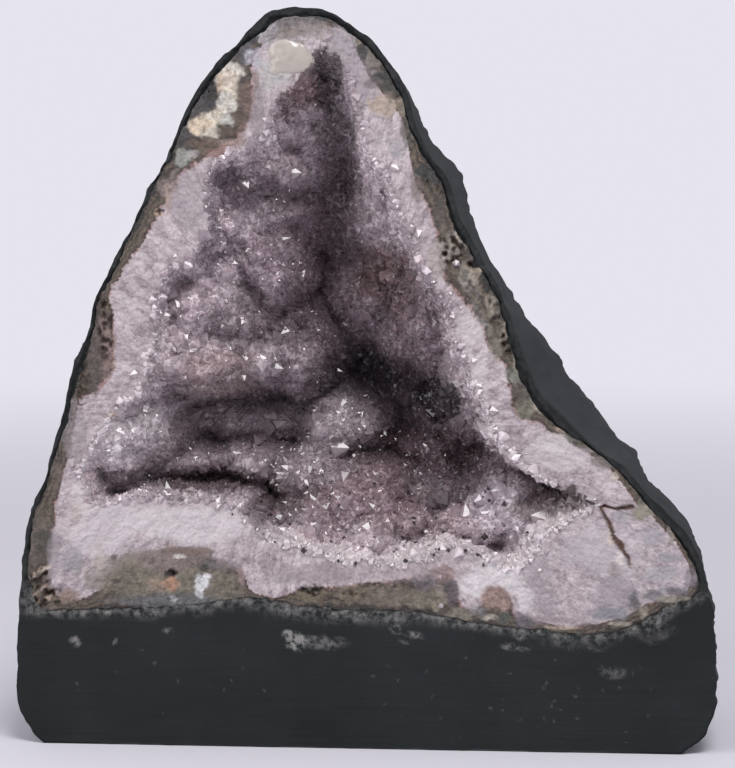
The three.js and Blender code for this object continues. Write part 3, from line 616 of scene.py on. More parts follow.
def lip_outline(count):
    """The hollow's lip, made ragged by noise: rounded heads of quartz a few millimetres wide push into the
    hollow and break off at different lengths."""
    lip = closed_curve(HOLLOW_LIP, count)
    place = flat_points(lip[:, 0], lip[:, 1])
    out = lip - HOLLOW_CENTRE
    out /= np.linalg.norm(out, axis=1, keepdims=True)
    scallops = np.maximum(0, 0.62 - cells(place, 5.0, 13)[0])
    ragged = 0.5 + 1.5 * noise(place, 7, 11, 2) + 0.5 * noise(place, 2.2, 12, 2) - 3.4 * scallops
    return lip + out * ragged[:, None]


def hollow_depth(x, z, scale):
    """Depth of the crystal wall behind the face: a steep-sided bowl and a paraboloid for each rounded mass,
    joined by a soft minimum. scale is 1 at the lip and 0 at the middle."""
    full = HOLLOW_DEPTH - HOLLOW_TAPER * np.maximum(0, z - HOLLOW_FULL_HEIGHT)
    total = np.exp(-full * (1 - scale**4) / LOBE_BLEND)
    for lobe_x, lobe_z, half_width, half_height, crown, fall in LOBES:
        off = ((x - lobe_x) / half_width) ** 2 + ((z - lobe_z) / half_height) ** 2
        total = total + np.exp(-(crown + 0.9 * fall * off) / LOBE_BLEND)
    return np.maximum(1 - scale**16, -LOBE_BLEND * np.log(total))


def hollow_grid(rows, columns):
    """The hollow's wall as a polar grid from the lip to the middle, with knobbly relief: bubbles of two
    sizes, which rise with the square of the distance to the nearest of scattered points, and noise."""
    lip = lip_outline(columns)
    scale = (1 - np.linspace(0, 1, rows, endpoint=False) ** HOLLOW_CROWDING)[:, None]
    x = HOLLOW_CENTRE[0] + (lip[:, 0] - HOLLOW_CENTRE[0]) * scale
    z = HOLLOW_CENTRE[1] + (lip[:, 1] - HOLLOW_CENTRE[1]) * scale
    warp = flat_points(x, z)
    depth = hollow_depth(x + 4.2 * noise(warp, 15, 21, 2), z + 4.2 * noise(warp, 15, 24, 2), scale)
    settle = ease(0, 0.06, 1 - scale)
    place = np.stack([x, depth, z], -1)
    knobs = 5.0 * cells(place, 11, 31)[0] ** 2 + 3.6 * cells(place, 5, 35)[0] ** 2
    depth = np.maximum(depth + settle * (knobs + 0.7 * noise(warp, 3.2, 27, 2) - 0.9), 0.1 * settle)
    return np.stack([x, face_y(z) + depth, z], -1), depth


# -------------------------------------------------------------------------------------------- materials
def add(tree, kind, inputs=None, **settings):
    """Adds a shader node, makes its settings, and sets each input or links it when it is given a socket.
    Sockets without a name of their own go by number. Mix: 0 share, 6 and 7 its colours. Map Range: 0 value,
    1 and 2 from, 3 and 4 to. Math: 0, 1 and 2 in the order of its formula."""
    node = tree.nodes.new(f"ShaderNode{kind}")
    for name, value in settings.items():
        setattr(node, name, value)
    for name, value in (inputs or {}).items():
        if isinstance(value, bpy.types.NodeSocket):
            tree.links.new(value, node.inputs[name])
        else:
            node.inputs[name].default_value = value
    return node


def new_material(name):
    """An empty material and its node tree."""
    material = bpy.data.materials.new(name)
    material.use_nodes = True
    material.node_tree.nodes.clear()
    return material, material.node_tree


def cast_cement():
    """Portland cement, darkened with pigment, cast against the stone, trowelled behind and sawn in front.
    It gives the eye a dull near-black grey with paler dust, white grains and fine level saw marks."""
    colours = bpy.context.scene.geode_colours
    material, tree = new_material("cast_pigmented_cement")
    # Scales are repeats a metre: grit 1.1 mm, clouds 45 mm, saw marks 0.7 mm, flecks 8 mm and motes 2.6 mm
    # apart, chalk 2.4 mm
    place = add(tree, "TexCoord").outputs["Object"]
    grit = add(tree, "TexNoise", {"Vector": place, "Scale": 900, "Detail": 4, "Roughness": 0.65})
    cloud = add(tree, "TexNoise", {"Vector": place, "Scale": 22, "Detail": 6, "Roughness": 0.6})
    stretch = add(tree, "Mapping", {"Vector": place, "Scale": (40, 200, 1500)})
    saw = add(tree, "TexNoise", {"Vector": stretch.outputs[0], "Scale": 1.0, "Detail": 3})
    tone = add(tree, "MapRange", {0: cloud.outputs["Fac"], 1: 0.3, 2: 0.7, 3: 0.78, 4: 1.3})
    sawn = add(tree, "Attribute", attribute_name="sawn")
    coat = add(tree, "Mix",
               {0: sawn.outputs["Fac"], 6: linear(colours.cement),
                7: linear(colours.cement_sawn)}, data_type="RGBA")
    streak = add(tree, "MapRange", {0: saw.outputs["Fac"], 1: 0.3, 2: 0.7, 3: 0.9, 4: 1.1})
    lined = add(tree, "Mix",
                {0: sawn.outputs["Fac"], 6: coat.outputs[2],
                 7: streak.outputs[0]}, data_type="RGBA", blend_type="MULTIPLY")
    base = add(tree, "Mix",
               {0: 1.0, 6: lined.outputs[2], 7: tone.outputs[0]}, data_type="RGBA", blend_type="MULTIPLY")
    jitter = add(tree, "TexNoise", {"Vector": place, "Scale": 800, "Detail": 3})
    loose = add(tree, "VectorMath",
                {0: jitter.outputs["Color"], 1: (0.003, 0.003, 0.003),
                 2: place}, operation="MULTIPLY_ADD").outputs[0]
    fleck = add(tree, "TexVoronoi", {"Vector": loose, "Scale": 120})
    spot = add(tree, "MapRange", {0: fleck.outputs["Distance"], 1: 0.1, 2: 0.03, 3: 0, 4: 0.35})
    rare = add(tree, "Math", {0: fleck.outputs["Color"], 1: 0.93}, operation="GREATER_THAN")
    large = add(tree, "Math", {0: spot.outputs[0], 1: rare.outputs[0]}, operation="MULTIPLY")
    mote = add(tree, "TexVoronoi", {"Vector": loose, "Scale": 380})
    dot = add(tree, "MapRange", {0: mote.outputs["Distance"], 1: 0.3, 2: 0.05, 3: 0, 4: 0.22})
    cluster = add(tree, "MapRange", {0: cloud.outputs["Fac"], 1: 0.48, 2: 0.64, 3: 0.9, 4: 0.74})
    few = add(tree, "Math", {0: mote.outputs["Color"], 1: cluster.outputs[0]}, operation="GREATER_THAN")
    small = add(tree, "Math", {0: dot.outputs[0], 1: few.outputs[0]}, operation="MULTIPLY")
    grain = add(tree, "Math", {0: large.outputs[0], 1: small.outputs[0]}, operation="MAXIMUM")
    dusting = add(tree, "Attribute", attribute_name="dust")
    patchy = add(tree, "TexNoise", {"Vector": place, "Scale": 420, "Detail": 5, "Roughness": 0.7})
    chalk = add(tree, "Math",
                {0: patchy.outputs["Fac"], 1: 3.2, 2: -1.3}, operation="MULTIPLY_ADD", use_clamp=True)
    dust = add(tree, "Math", {0: chalk.outputs[0], 1: dusting.outputs["Fac"]}, operation="MULTIPLY")
    whole = add(tree, "Math", {0: grain.outputs[0], 1: dust.outputs[0]}, operation="MAXIMUM")
    colour = add(tree, "Mix",
                 {0: whole.outputs[0], 6: base.outputs[2],
                  7: linear(colours.cement_dust)}, data_type="RGBA")
    marks = add(tree, "Math", {0: saw.outputs["Fac"], 1: sawn.outputs["Fac"]}, operation="MULTIPLY")
    height = add(tree, "Math",
                 {0: marks.outputs[0], 1: 0.3, 2: grit.outputs["Fac"]}, operation="MULTIPLY_ADD")
    bump = add(tree, "Bump", {"Height": height.outputs[0], "Strength": 0.6, "Distance": 0.0004})
    shader = add(tree, "BsdfPrincipled",
                 {"Base Color": colour.outputs[2], "Roughness": 0.88, "Specular IOR Level": 0.2,
                  "Normal": bump.outputs[0]})
    add(tree, "OutputMaterial", {"Surface": shader.outputs[0]})
    return material


def sawn_agate_and_quartz():
    """Banded agate and milky quartz, sawn and left half polished. It gives the eye a soft lilac-white band
    of fine columns that stand across it, inside a thin skin of olive, tan and pink-brown bands."""
    colours = bpy.context.scene.geode_colours
    material, tree = new_material("sawn_agate_and_milky_quartz")
    # Scales are repeats a metre: clouds 11 mm, patches 3.3 mm, speckle 0.9 mm, sugar 1.4 mm, wander of the
    # bands 4 mm and 1.4 mm, crumbs 1.8 mm. Those on the attribute along are repeats a millimetre: columns
    # 2 mm and threads 0.6 mm wide
    place = add(tree, "TexCoord").outputs["Object"]
    along = add(tree, "Attribute", attribute_name="along").outputs["Vector"]
    cloud = add(tree, "TexNoise", {"Vector": place, "Scale": 90, "Detail": 6, "Roughness": 0.62})
    bend = add(tree, "VectorMath",
               {0: cloud.outputs["Color"], 1: (5, 7, 0), 2: along}, operation="MULTIPLY_ADD")
    stout = add(tree, "Mapping", {"Vector": bend.outputs[0], "Scale": (0.5, 0.12, 1)})
    column = add(tree, "TexVoronoi", {"Vector": stout.outputs[0], "Scale": 1.0})
    slender = add(tree, "Mapping", {"Vector": bend.outputs[0], "Scale": (1.6, 0.35, 1)})
    thread = add(tree, "TexNoise", {"Vector": slender.outputs[0], "Scale": 1.0, "Detail": 5})
    patchy = add(tree, "TexNoise", {"Vector": place, "Scale": 300, "Detail": 5, "Roughness": 0.6})
    speckle = add(tree, "TexNoise", {"Vector": place, "Scale": 1100, "Detail": 3, "Roughness": 0.7})
    sugar = add(tree, "TexVoronoi", {"Vector": place, "Scale": 700})
    shade = -2.45
    for source, weight in ((column.outputs["Color"], 0.6), (thread.outputs["Fac"], 1.3),
                           (cloud.outputs["Fac"], 1.3), (patchy.outputs["Fac"], 1.4),
                           (speckle.outputs["Fac"], 1.3)):
        shade = add(tree, "Math", {0: source, 1: weight, 2: shade}, operation="MULTIPLY_ADD").outputs[0]
    both = add(tree, "Clamp", {0: shade})
    quartz = add(tree, "Mix",
                 {0: both.outputs[0], 6: linear(colours.quartz),
                  7: linear(colours.quartz_shade)}, data_type="RGBA")
    band = add(tree, "Attribute", attribute_name="agate").outputs["Fac"]
    wander = add(tree, "TexNoise", {"Vector": place, "Scale": 240, "Detail": 4})
    ripple = add(tree, "TexNoise", {"Vector": place, "Scale": 700, "Detail": 4})
    bent = add(tree, "Math", {0: wander.outputs["Fac"], 1: 0.45, 2: band}, operation="MULTIPLY_ADD")
    phase = add(tree, "Math",
                {0: ripple.outputs["Fac"], 1: 0.35, 2: bent.outputs[0]}, operation="MULTIPLY_ADD")
    outermost = 1.4  # the phase at the end of the ramp
    scaled = add(tree, "Math", {0: phase.outputs[0], 1: outermost}, operation="DIVIDE")
    ramp = add(tree, "ValToRGB", {0: scaled.outputs[0]})
    stops = (
        (0.36, colours.quartz_shade), (0.46, colours.agate_pink), (0.56, colours.agate_dark),
        (0.74, colours.agate), (0.94, colours.agate_dark), (1.08, colours.agate),
        (1.2, colours.agate_dark), (1.34, "34332f"))
    for number, (position, code) in enumerate(stops):
        knot = ramp.color_ramp.elements[number] if number < 2 else ramp.color_ramp.elements.new(1.0)
        knot.position = position / outermost
        knot.color = linear(code)
    skin = add(tree, "Math", {0: band, 1: 9.0, 2: 0.0}, operation="MULTIPLY_ADD", use_clamp=True)
    banded = add(tree, "Mix",
                 {0: skin.outputs[0], 6: quartz.outputs[2], 7: ramp.outputs[0]}, data_type="RGBA")
    patch = add(tree, "Attribute", attribute_name="patch")
    mottle = add(tree, "Math",
                 {0: cloud.outputs["Fac"], 1: 1.2, 2: 0.4}, operation="MULTIPLY_ADD", use_clamp=True)
    share = add(tree, "Math", {0: patch.outputs["Alpha"], 1: mottle.outputs[0]}, operation="MULTIPLY")
    veiled = add(tree, "HueSaturation", {"Saturation": 0.72, "Color": patch.outputs["Color"]})
    clouds = add(tree, "MapRange", {0: patchy.outputs["Fac"], 1: 0.3, 2: 0.7, 3: 0.78, 4: 1.2})
    stain = add(tree, "Mix",
                {0: 1.0, 6: veiled.outputs[0],
                 7: clouds.outputs[0]}, data_type="RGBA", blend_type="MULTIPLY")
    painted = add(tree, "Mix",
                  {0: share.outputs[0], 6: banded.outputs[2], 7: stain.outputs[2]}, data_type="RGBA")
    crumbs = add(tree, "TexNoise", {"Vector": place, "Scale": 560, "Detail": 5, "Roughness": 0.7})
    dirt = add(tree, "MapRange", {0: crumbs.outputs["Fac"], 1: 0.33, 2: 0.62, 3: 0.5, 4: 1.18})
    gritty = add(tree, "Mix",
                 {0: skin.outputs[0], 6: painted.outputs[2],
                  7: dirt.outputs[0]}, data_type="RGBA", blend_type="MULTIPLY")
    pit = add(tree, "Attribute", attribute_name="pit").outputs["Fac"]
    pitted = add(tree, "Mix", {0: pit, 6: gritty.outputs[2], 7: linear("463a32")}, data_type="RGBA")
    crack = add(tree, "Attribute", attribute_name="crack").outputs["Fac"]
    cracked = add(tree, "Mix", {0: crack, 6: pitted.outputs[2], 7: linear("66483c")}, data_type="RGBA")
    height = add(tree, "Math",
                 {0: sugar.outputs["Distance"], 1: 0.5,
                  2: speckle.outputs["Fac"]}, operation="MULTIPLY_ADD")
    bump = add(tree, "Bump", {"Height": height.outputs[0], "Strength": 0.9, "Distance": 0.0008})
    gloss = add(tree, "MapRange", {0: cloud.outputs["Fac"], 1: 0.3, 2: 0.7, 3: 0.3, 4: 0.55})
    shader = add(tree, "BsdfPrincipled",
                 {"Base Color": cracked.outputs[2], "Roughness": gloss.outputs[0], "IOR": QUARTZ_IOR,
                  "Subsurface Weight": 0.3, "Subsurface Radius": (1.0, 0.8, 0.9), "Subsurface Scale": 0.002,
                  "Normal": bump.outputs[0]})
    add(tree, "OutputMaterial", {"Surface": shader.outputs[0]})
    return material


def amethyst_colour(tree):
    """Colour of amethyst: the tint kept on the mesh, clouded a little by veils inside the crystal, 3 mm
    across. Returns the object coordinates and the colour."""
    place = add(tree, "TexCoord").outputs["Object"]
    tint = add(tree, "Attribute", attribute_name="tint").outputs["Color"]
    veil = add(tree, "TexNoise", {"Vector": place, "Scale": 330, "Detail": 5, "Roughness": 0.7})
    shade = add(tree, "MapRange", {0: veil.outputs["Fac"], 1: 0.3, 2: 0.7, 3: 0.72, 4: 1.28})
    clouded = add(tree, "Mix",
                  {0: 1.0, 6: tint, 7: shade.outputs[0]}, data_type="RGBA", blend_type="MULTIPLY")
    return place, clouded.outputs[2]


def druse_matrix():
    """Massive amethyst under the points, grown as a crust. It gives the eye a cloudy lilac body that light
    enters a little, darker where the hollow is deep, partly by painted shade in its colour."""
    material, tree = new_material("grown_amethyst_crust")
    # The sugary bump repeats every 1.6 mm
    place, colour = amethyst_colour(tree)
    sugar = add(tree, "TexVoronoi", {"Vector": place, "Scale": 620})
    bump = add(tree, "Bump", {"Height": sugar.outputs["Distance"], "Strength": 0.5, "Distance": 0.0006})
    shader = add(tree, "BsdfPrincipled",
                 {"Base Color": colour, "Roughness": 0.3, "IOR": QUARTZ_IOR, "Subsurface Weight": 0.5,
                  "Subsurface Radius": (1.0, 0.85, 0.92), "Subsurface Scale": 0.003,
                  "Normal": bump.outputs[0]})
    add(tree, "OutputMaterial", {"Surface": shader.outputs[0]})
    return material


def amethyst_points(name="natural_amethyst_points", roughness=0.09):
    """Amethyst crystals with their natural growth faces, mirror-like or a little etched. They are clear
    with a lilac body, so they give the eye sharp glints and a look down into the darker crust."""
    material, tree = new_material(name)
    colour = amethyst_colour(tree)[1]
    shader = add(tree, "BsdfPrincipled",
                 {"Base Color": colour, "Roughness": roughness, "IOR": QUARTZ_IOR,
                  "Transmission Weight": 0.5})
    absorb = add(tree, "VolumeAbsorption", {"Color": linear("cdaccd"), "Density": 25})
    add(tree, "OutputMaterial", {"Surface": shader.outputs[0], "Volume": absorb.outputs[0]})
    return material


def milky_points():
    """Milky quartz crystals with their natural faces. Fine bubbles make them white and nearly opaque, so
    they give the eye a bright sugary edge."""
    material, tree = new_material("natural_milky_quartz_points")
    colour = amethyst_colour(tree)[1]
    shader = add(tree, "BsdfPrincipled",
                 {"Base Color": colour, "Roughness": 0.2, "IOR": QUARTZ_IOR, "Subsurface Weight": 0.4,
                  "Subsurface Radius": (1.0, 0.9, 0.94), "Subsurface Scale": 0.002})
    add(tree, "OutputMaterial", {"Surface": shader.outputs[0]})
    return material


def waxy_chalcedony():
    """Grey-cream chalcedony, grown as a smooth drop. It gives the eye a waxy translucent lump with one
    crisp highlight."""
    colours = bpy.context.scene.geode_colours
    material, tree = new_material("grown_chalcedony")
    # The clouds repeat every 9 mm
    place = add(tree, "TexCoord").outputs["Object"]
    cloud = add(tree, "TexNoise", {"Vector": place, "Scale": 110, "Detail": 4})
    colour = add(tree, "Mix",
                 {0: cloud.outputs["Fac"], 6: linear(colours.nodule),
                  7: linear("afa59c")}, data_type="RGBA")
    shader = add(tree, "BsdfPrincipled",
                 {"Base Color": colour.outputs[2], "Roughness": 0.12, "IOR": 1.54, "Subsurface Weight": 0.5,
                  "Subsurface Radius": (1.0, 0.9, 0.8), "Subsurface Scale": 0.003})
    add(tree, "OutputMaterial", {"Surface": shader.outputs[0]})
    return material


def iron_oxide():
    """Goethite, grown as small dark grains. It gives the eye near-black brown specks with a dull metal
    sheen."""
    material, tree = new_material("grown_goethite")
    shader = add(tree, "BsdfPrincipled", {"Base Color": linear("2a1a15"), "Roughness": 0.55, "IOR": 1.7})
    add(tree, "OutputMaterial", {"Surface": shader.outputs[0]})
    return material


# --------------------------------------------------------------------------------------------- operators
class GEODE_OT_cement_coat(Operator):
    """Builds the cement coat and foot as one closed surface. Its rows start in the pocket behind the stone,
    cross the sawn face and run back over the body. Lumps and nubs push them along their normals, and what
    would go under the floor is pressed flat."""
    bl_idname = "geode.cement_coat"
    bl_label = "Cement coat"

    def execute(self, context):
        sizes = context.scene.geode_stone
        columns, face_rows, back_rows = 900, 46, 48
        outline = closed_curve(CEMENT_EDGE, columns)
        jag = noise(flat_points(*outline.T), 6, 40, 3)
        outline = STONE_CENTRE + (outline - STONE_CENTRE) * (1 + 0.009 * jag)[:, None]
        angle = np.arctan2(*(outline - STONE_CENTRE).T[::-1])
        ray = np.stack([np.cos(angle), np.sin(angle)], 1)
        reach = stone_reach(angle)[:, None]
        inner = STONE_CENTRE + ray * (reach - 2.0)  # the face runs on a little under the stone's skin
        outer = np.stack([outline[:, 0], np.maximum(outline[:, 1], 0)], 1)
        share = np.linspace(0, 1, face_rows)[:, None, None]
        front = inner + (outer - inner) * share
        face = np.stack([front[..., 0], face_y(front[..., 1]), front[..., 1]], -1)
        backs = np.linspace(0.012, 1, back_rows, endpoint=False) ** 1.2
        coat = body_rows(outline, backs)
        coat[..., 2] = np.maximum(coat[..., 2], 0)
        wall = STONE_CENTRE + ray * (reach + POCKET_GAP - SIDE_INSET)
        pocket = stone_rows(wall, np.array([0.9, 0.6, 0.3, 0.1, 0.02]))
        surface = np.concatenate([face, coat])
        normal = grid_normals(surface)
        lumps = noise(surface, sizes.cement_grit / MM, 41, 3)
        near_nub, nub = cells(surface, 0.65 * sizes.cement_grit / MM, 43)
        nubs = np.where(nub > 0.5, np.maximum(0, 0.62 - near_nub) ** 1.4, 0)
        row = np.arange(len(surface))[:, None]
        rough = ease(face_rows - 2, face_rows + 2, row) * (1 - 0.65 * ease(206, 222, surface[..., 2]))
        relief = rough * (sizes.cement_relief / MM) * (1.1 * lumps + 1.7 * nubs - 0.15)
        flat = 1 - ease(face_rows - 3, face_rows + 1, row)
        relief = relief + flat * (0.12 * noise(surface, 5, 44, 3) - 0.1)
        from_stone = np.linalg.norm(front - inner, axis=-1)
        ragged = 2.6 + 1.2 * noise(face, 6, 45, 2) + 0.6 * noise(face, 1.5, 46)
        sink = ease(0.5, -1.2, from_stone - ragged)
        relief[:face_rows] -= (0.7 + 0.9 * ease(52, 70, front[..., 1])) * sink
        surface = surface + normal * relief[..., None]
        surface[..., 2] = np.maximum(surface[..., 2], 0)
        surface[..., 2] *= ease(-1, 0.02, surface[..., 2])
        grid = np.concatenate([pocket, surface])
        poles = np.vstack([stone_pole(), [CORE_X, HALF_DEPTH, SHOULDER_HEIGHT]])
        piece = closed_grid("cement_coat", grid, poles, turned=True)
        dust, sawn = np.zeros((2, len(grid), columns))
        on_face = slice(len(pocket), len(pocket) + face_rows)
        under = ease(56, 48, front[..., 1])
        near = (0.15 + 0.85 * under) * ease(8, 2, from_stone + 2.4 * noise(face, 9, 47, 3))
        scuffs = sum(blot(front[..., 0], front[..., 1], patch, 48 + number) * patch[4] for number, patch in
                     enumerate(SCUFFS))
        dust[on_face] = 0.95 * near + scuffs
        sawn[on_face] = 1
        store(piece, "dust", np.append(dust, [0, 0]))
        store(piece, "sawn", np.append(sawn, [0, 0]))
        finish_piece(piece, cast_cement(), "cement_casing")
        return {"FINISHED"}


class GEODE_OT_sawn_rim(Operator):
    """Builds the sawn face of the stone. Its rows run straight from the cement to the lip of the hollow,
    sunk by vugs, cracks, chips, crumbled skin and grain, and close behind the stone and behind the lip."""
    bl_idname = "geode.sawn_rim"
    bl_label = "Sawn rim"

    def execute(self, context):
        columns, rows = 1400, 53
        lip = lip_outline(columns)
        angle = np.unwrap(np.arctan2(*(lip - STONE_CENTRE).T[::-1]))
        angle = np.maximum(np.minimum.accumulate(angle), angle[0] + 0.002 - 2 * math.pi)
        angle -= 1e-6 * np.arange(columns)
        ray = np.stack([np.cos(angle), np.sin(angle)], 1)
        outer = STONE_CENTRE + ray * stone_reach(angle)[:, None]
        edge = flat_points(outer[:, 0], outer[:, 1])
        drawn = 0.7 * noise(edge, 6, 72, 2) + 0.5 * noise(edge, 1.8, 73, 2)
        outer = outer + ray * (drawn - 0.1 - 1.3 * np.maximum(0, noise(edge, 16, 75)))[:, None]
        share = np.linspace(0, 1, rows)[:, None, None]
        plane = outer + (lip - outer) * share
        x, z = plane[..., 0], plane[..., 1]
        place = flat_points(x, z)
        from_quartz, from_stone = edge_gap(QUARTZ_EDGE, x, z), edge_gap(STONE_EDGE, x, z)
        into_skin = from_quartz + 1.0 * noise(place, 5, 61, 2) + 0.5 * noise(place, 1.6, 62, 2)
        skin = np.maximum(np.abs(from_quartz) + np.maximum(LAP - from_stone, 0), 2.0)
        agate = np.clip(into_skin / skin, 0, 1)
        pits = sum(blot(x, z, vug, 70 + number) * vug[4] for number, vug in enumerate(VUGS))
        holes = cells(place, 2.6, 63)[0]
        pit = pits * ease(0.7, 0.2, holes + 0.5 * noise(place, 1.4, 64, 2))
        crack = self.crack_share(x, z)
        from_lip = np.linalg.norm(plane - lip, axis=-1)
        crumble = np.clip(2 * agate, 0, 1) * (0.35 + 0.6 * noise(place, 2.4, 68, 3))
        chips = 0.5 * ease(2.5, 0, from_lip) * (1 + noise(place, 1.8, 69, 2))
        grain = 0.9 * (cells(place, 2.3, 71)[0] - 0.5) * np.clip(1 - 2 * agate, 0.3, 1)
        relief = pit + 1.2 * crack + chips + crumble + grain + 0.25 * noise(place, 3, 65, 3)
        face = np.stack([x, face_y(z) + relief, z], -1)
        inside = bowl_rows(lip, np.array([0.998, 0.99, 0.975, 0.94, 0.85, 0.7, 0.45, 0.2]), RIM_WALL)
        behind = stone_rows(outer - SIDE_INSET * ray, np.array([0.9, 0.6, 0.3, 0.12, 0.03]))
        grid = np.concatenate([behind, face, inside])
        total = len(grid)
        deepest = [HOLLOW_CENTRE[0], face_y(HOLLOW_CENTRE[1]) + HOLLOW_DEPTH + RIM_WALL, HOLLOW_CENTRE[1]]
        piece = closed_grid("sawn_rim", grid, np.vstack([stone_pole(), deepest]))
        start, end = len(behind) * columns, (len(behind) + rows) * columns

        def spread(values):
            """Values of the face's corners for every corner: carried on behind the lip, 0 at the back."""
            whole = np.zeros(total * columns + 2)
            whole[start:end] = values.ravel()
            whole[end:-2] = np.tile(values[-1], len(inside))
            return whole

        colour = np.zeros((rows, columns, 4))
        for number, patch in enumerate(RIM_PATCHES):
            weight = (blot(x, z, patch, 90 + number, 0.2) * patch[5])[..., None]
            colour[..., :3] = colour[..., :3] * (1 - weight) + np.array(linear(patch[4])[:3]) * weight
            colour[..., 3:] = colour[..., 3:] * (1 - weight) + weight
        colour[..., :3] /= np.maximum(colour[..., 3:], 1e-4)
        store(piece, "patch", np.stack([spread(colour[..., k]) for k in range(4)], -1), "FLOAT_COLOR")
        store(piece, "agate", spread(agate))
        store(piece, "pit", spread(np.clip(0.5 * pit, 0, 1)))
        store(piece, "crack", spread(crack))
        step = np.linalg.norm(np.diff(lip, axis=0, append=lip[:1]), axis=1)
        length = np.broadcast_to(np.cumsum(step), (rows, columns))
        along = np.stack([spread(length), spread(from_lip), np.zeros(total * columns + 2)], -1)
        store(piece, "along", along, "FLOAT_VECTOR")
        finish_piece(piece, sawn_agate_and_quartz(), "crystal_lining")
        return {"FINISHED"}

    @staticmethod
    def crack_share(x, z):
        """1 on a crack's line and 0 past its ragged half width: the least distance to its spans, less the
        width there."""
        place = flat_points(x, z)
        px, pz = x + 0.7 * noise(place, 4, 66, 2), z + 0.7 * noise(place, 4, 67, 2)
        least = np.full(x.shape, 1e3)
        for line in CRACKS:
            for (ax, az, start), (bx, bz, end) in zip(line[:-1], line[1:]):
                dx, dz = bx - ax, bz - az
                t = np.clip(((px - ax) * dx + (pz - az) * dz) / (dx * dx + dz * dz), 0, 1)
                gap = np.hypot(px - ax - t * dx, pz - az - t * dz) - start - t * (end - start)
                least = np.minimum(least, gap)
        return ease(0.4, -0.1, least + 0.3 * noise(place, 2, 74, 2))


def lip_share(x, z):
    """How far out (x, z) lies in the hollow: 0 at its centre, 1 on the lip."""
    away = np.stack([x, z], -1) - HOLLOW_CENTRE
    reach = radius_at(HOLLOW_LIP, HOLLOW_CENTRE, np.arctan2(away[..., 1], away[..., 0]))
    return np.hypot(away[..., 0], away[..., 1]) / reach


def milkiness(x, z, depth):
    """Share of milky quartz in the crust: full at the lip, none from about a centimetre in, ragged by
    noise, little where the crust starts dark and less in the upper half."""
    place = flat_points(x, z)
    rimward = ease(0.87, 0.99, lip_share(x, z) + 0.05 * noise(place, 8, 84, 2))
    shallow = 0.8 * ease(7, 1, depth + 4 * noise(place, 14, 81, 2))
    shaded = sum(blot(x, z, patch, 119 + number) for number, patch in enumerate(SHADED_LIP))
    return np.maximum(rimward, shallow) * (1 - 0.85 * np.minimum(shaded, 1)) * (1 - 0.7 * ease(105, 150, z))


def druse_tint(x, z, depth, whitening=0.85):
    """Linear colour of the crust: pale amethyst near the face turning darker with depth, partly a deeper
    amethyst and partly painted shade for the deep hollow, with real stains, painted shade and painted light
    laid over it from the patch table, whitened towards the lip, and clouded from lump to lump."""
    colours = bpy.context.scene.geode_colours
    white, pale, deep = (np.array(linear(code)) for code in
                         (colours.quartz, colours.amethyst_pale, colours.amethyst_deep))
    sunk = depth + 4 * noise(flat_points(x, z), 14, 81, 2)
    # Darker with depth: partly a deeper amethyst, partly painted shade where the hollow is deep
    tint = deep + (pale - deep) * ease(44, 3, sunk)[..., None]
    # Lay the patches over the crust's colour: real stains, painted shade in the pockets and painted light
    # on the lobes
    for number, patch in enumerate(DRUSE_STAINS_SHADE_AND_LIGHT):
        weight = (blot(x, z, patch, 120 + number) * patch[5])[..., None]
        tint = tint + (np.array(linear(patch[4])) - tint) * weight
    tint = tint + (white - tint) * whitening * milkiness(x, z, depth)[..., None]
    tint[..., :3] *= np.exp(0.2 * noise(np.stack([x, depth, z], -1), 7, 86, 3))[..., None]
    return tint


def crust_grid():
    """The grid that crystals stand on: its corners, their depths and their normals towards the viewer."""
    grid, depth = hollow_grid(150, 600)
    return grid, depth, -grid_normals(grid)


def crust_at(x, z):
    """Place, normal and depth of the crust at (x, z): the nearest corner of its grid by direction and by
    distance from the middle, or the sawn plane outside the lip."""
    grid, depth, normal = crust_grid()
    rows, columns = depth.shape
    lip = lip_outline(columns) - HOLLOW_CENTRE
    turn = np.arctan2(lip[:, 1], lip[:, 0])
    order = np.argsort(turn)
    away = np.stack([x, z], -1) - HOLLOW_CENTRE
    column = order[np.searchsorted(turn[order], np.arctan2(away[:, 1], away[:, 0])) % columns]
    scale = np.hypot(*away.T) / np.hypot(*lip[column].T)
    row = np.rint(rows * (1 - np.minimum(scale, 1)) ** (1 / HOLLOW_CROWDING))
    row = np.clip(row, 0, rows - 1).astype(int)
    inside = (scale < 1)[:, None]
    flat = np.stack([x, face_y(z), z], -1)
    place = np.where(inside, np.stack([x, grid[row, column, 1], z], -1), flat)
    normal = np.where(inside, normal[row, column], [0, -1, 0])
    return place, normal, np.where(scale < 1, depth[row, column], 0)


class GEODE_OT_druse_bed(Operator):
    """Builds the crystal crust that lines the hollow: the grid of its wall, closed by the bowl behind."""
    bl_idname = "geode.druse_bed"
    bl_label = "Druse bed"

    def execute(self, context):
        columns = 720
        crust, depth = hollow_grid(122, columns)
        shares = np.array([0.2, 0.45, 0.7, 0.85, 0.94, 0.975, 0.99])
        back = bowl_rows(lip_outline(columns), shares, CRUST_WALL)
        grid = np.concatenate([back, crust])
        middle = face_y(HOLLOW_CENTRE[1]) + np.array([HOLLOW_DEPTH + CRUST_WALL, depth[-1].mean()])
        poles = np.stack([np.full(2, HOLLOW_CENTRE[0]), middle, np.full(2, HOLLOW_CENTRE[1])], 1)
        piece = closed_grid("druse_bed", grid, poles)
        depth = np.concatenate([np.tile(depth[:1], (len(back), 1)), depth])
        tint = druse_tint(grid[..., 0], grid[..., 2], depth).reshape(-1, 4)
        store(piece, "tint", np.vstack([tint, tint[:1], tint[-1:]]), "FLOAT_COLOR")
        finish_piece(piece, druse_matrix(), "crystal_lining")
        return {"FINISHED"}


def unit(vectors):
    """Each vector over its own length."""
    return vectors / np.maximum(np.linalg.norm(vectors, axis=-1, keepdims=True), 1e-9)


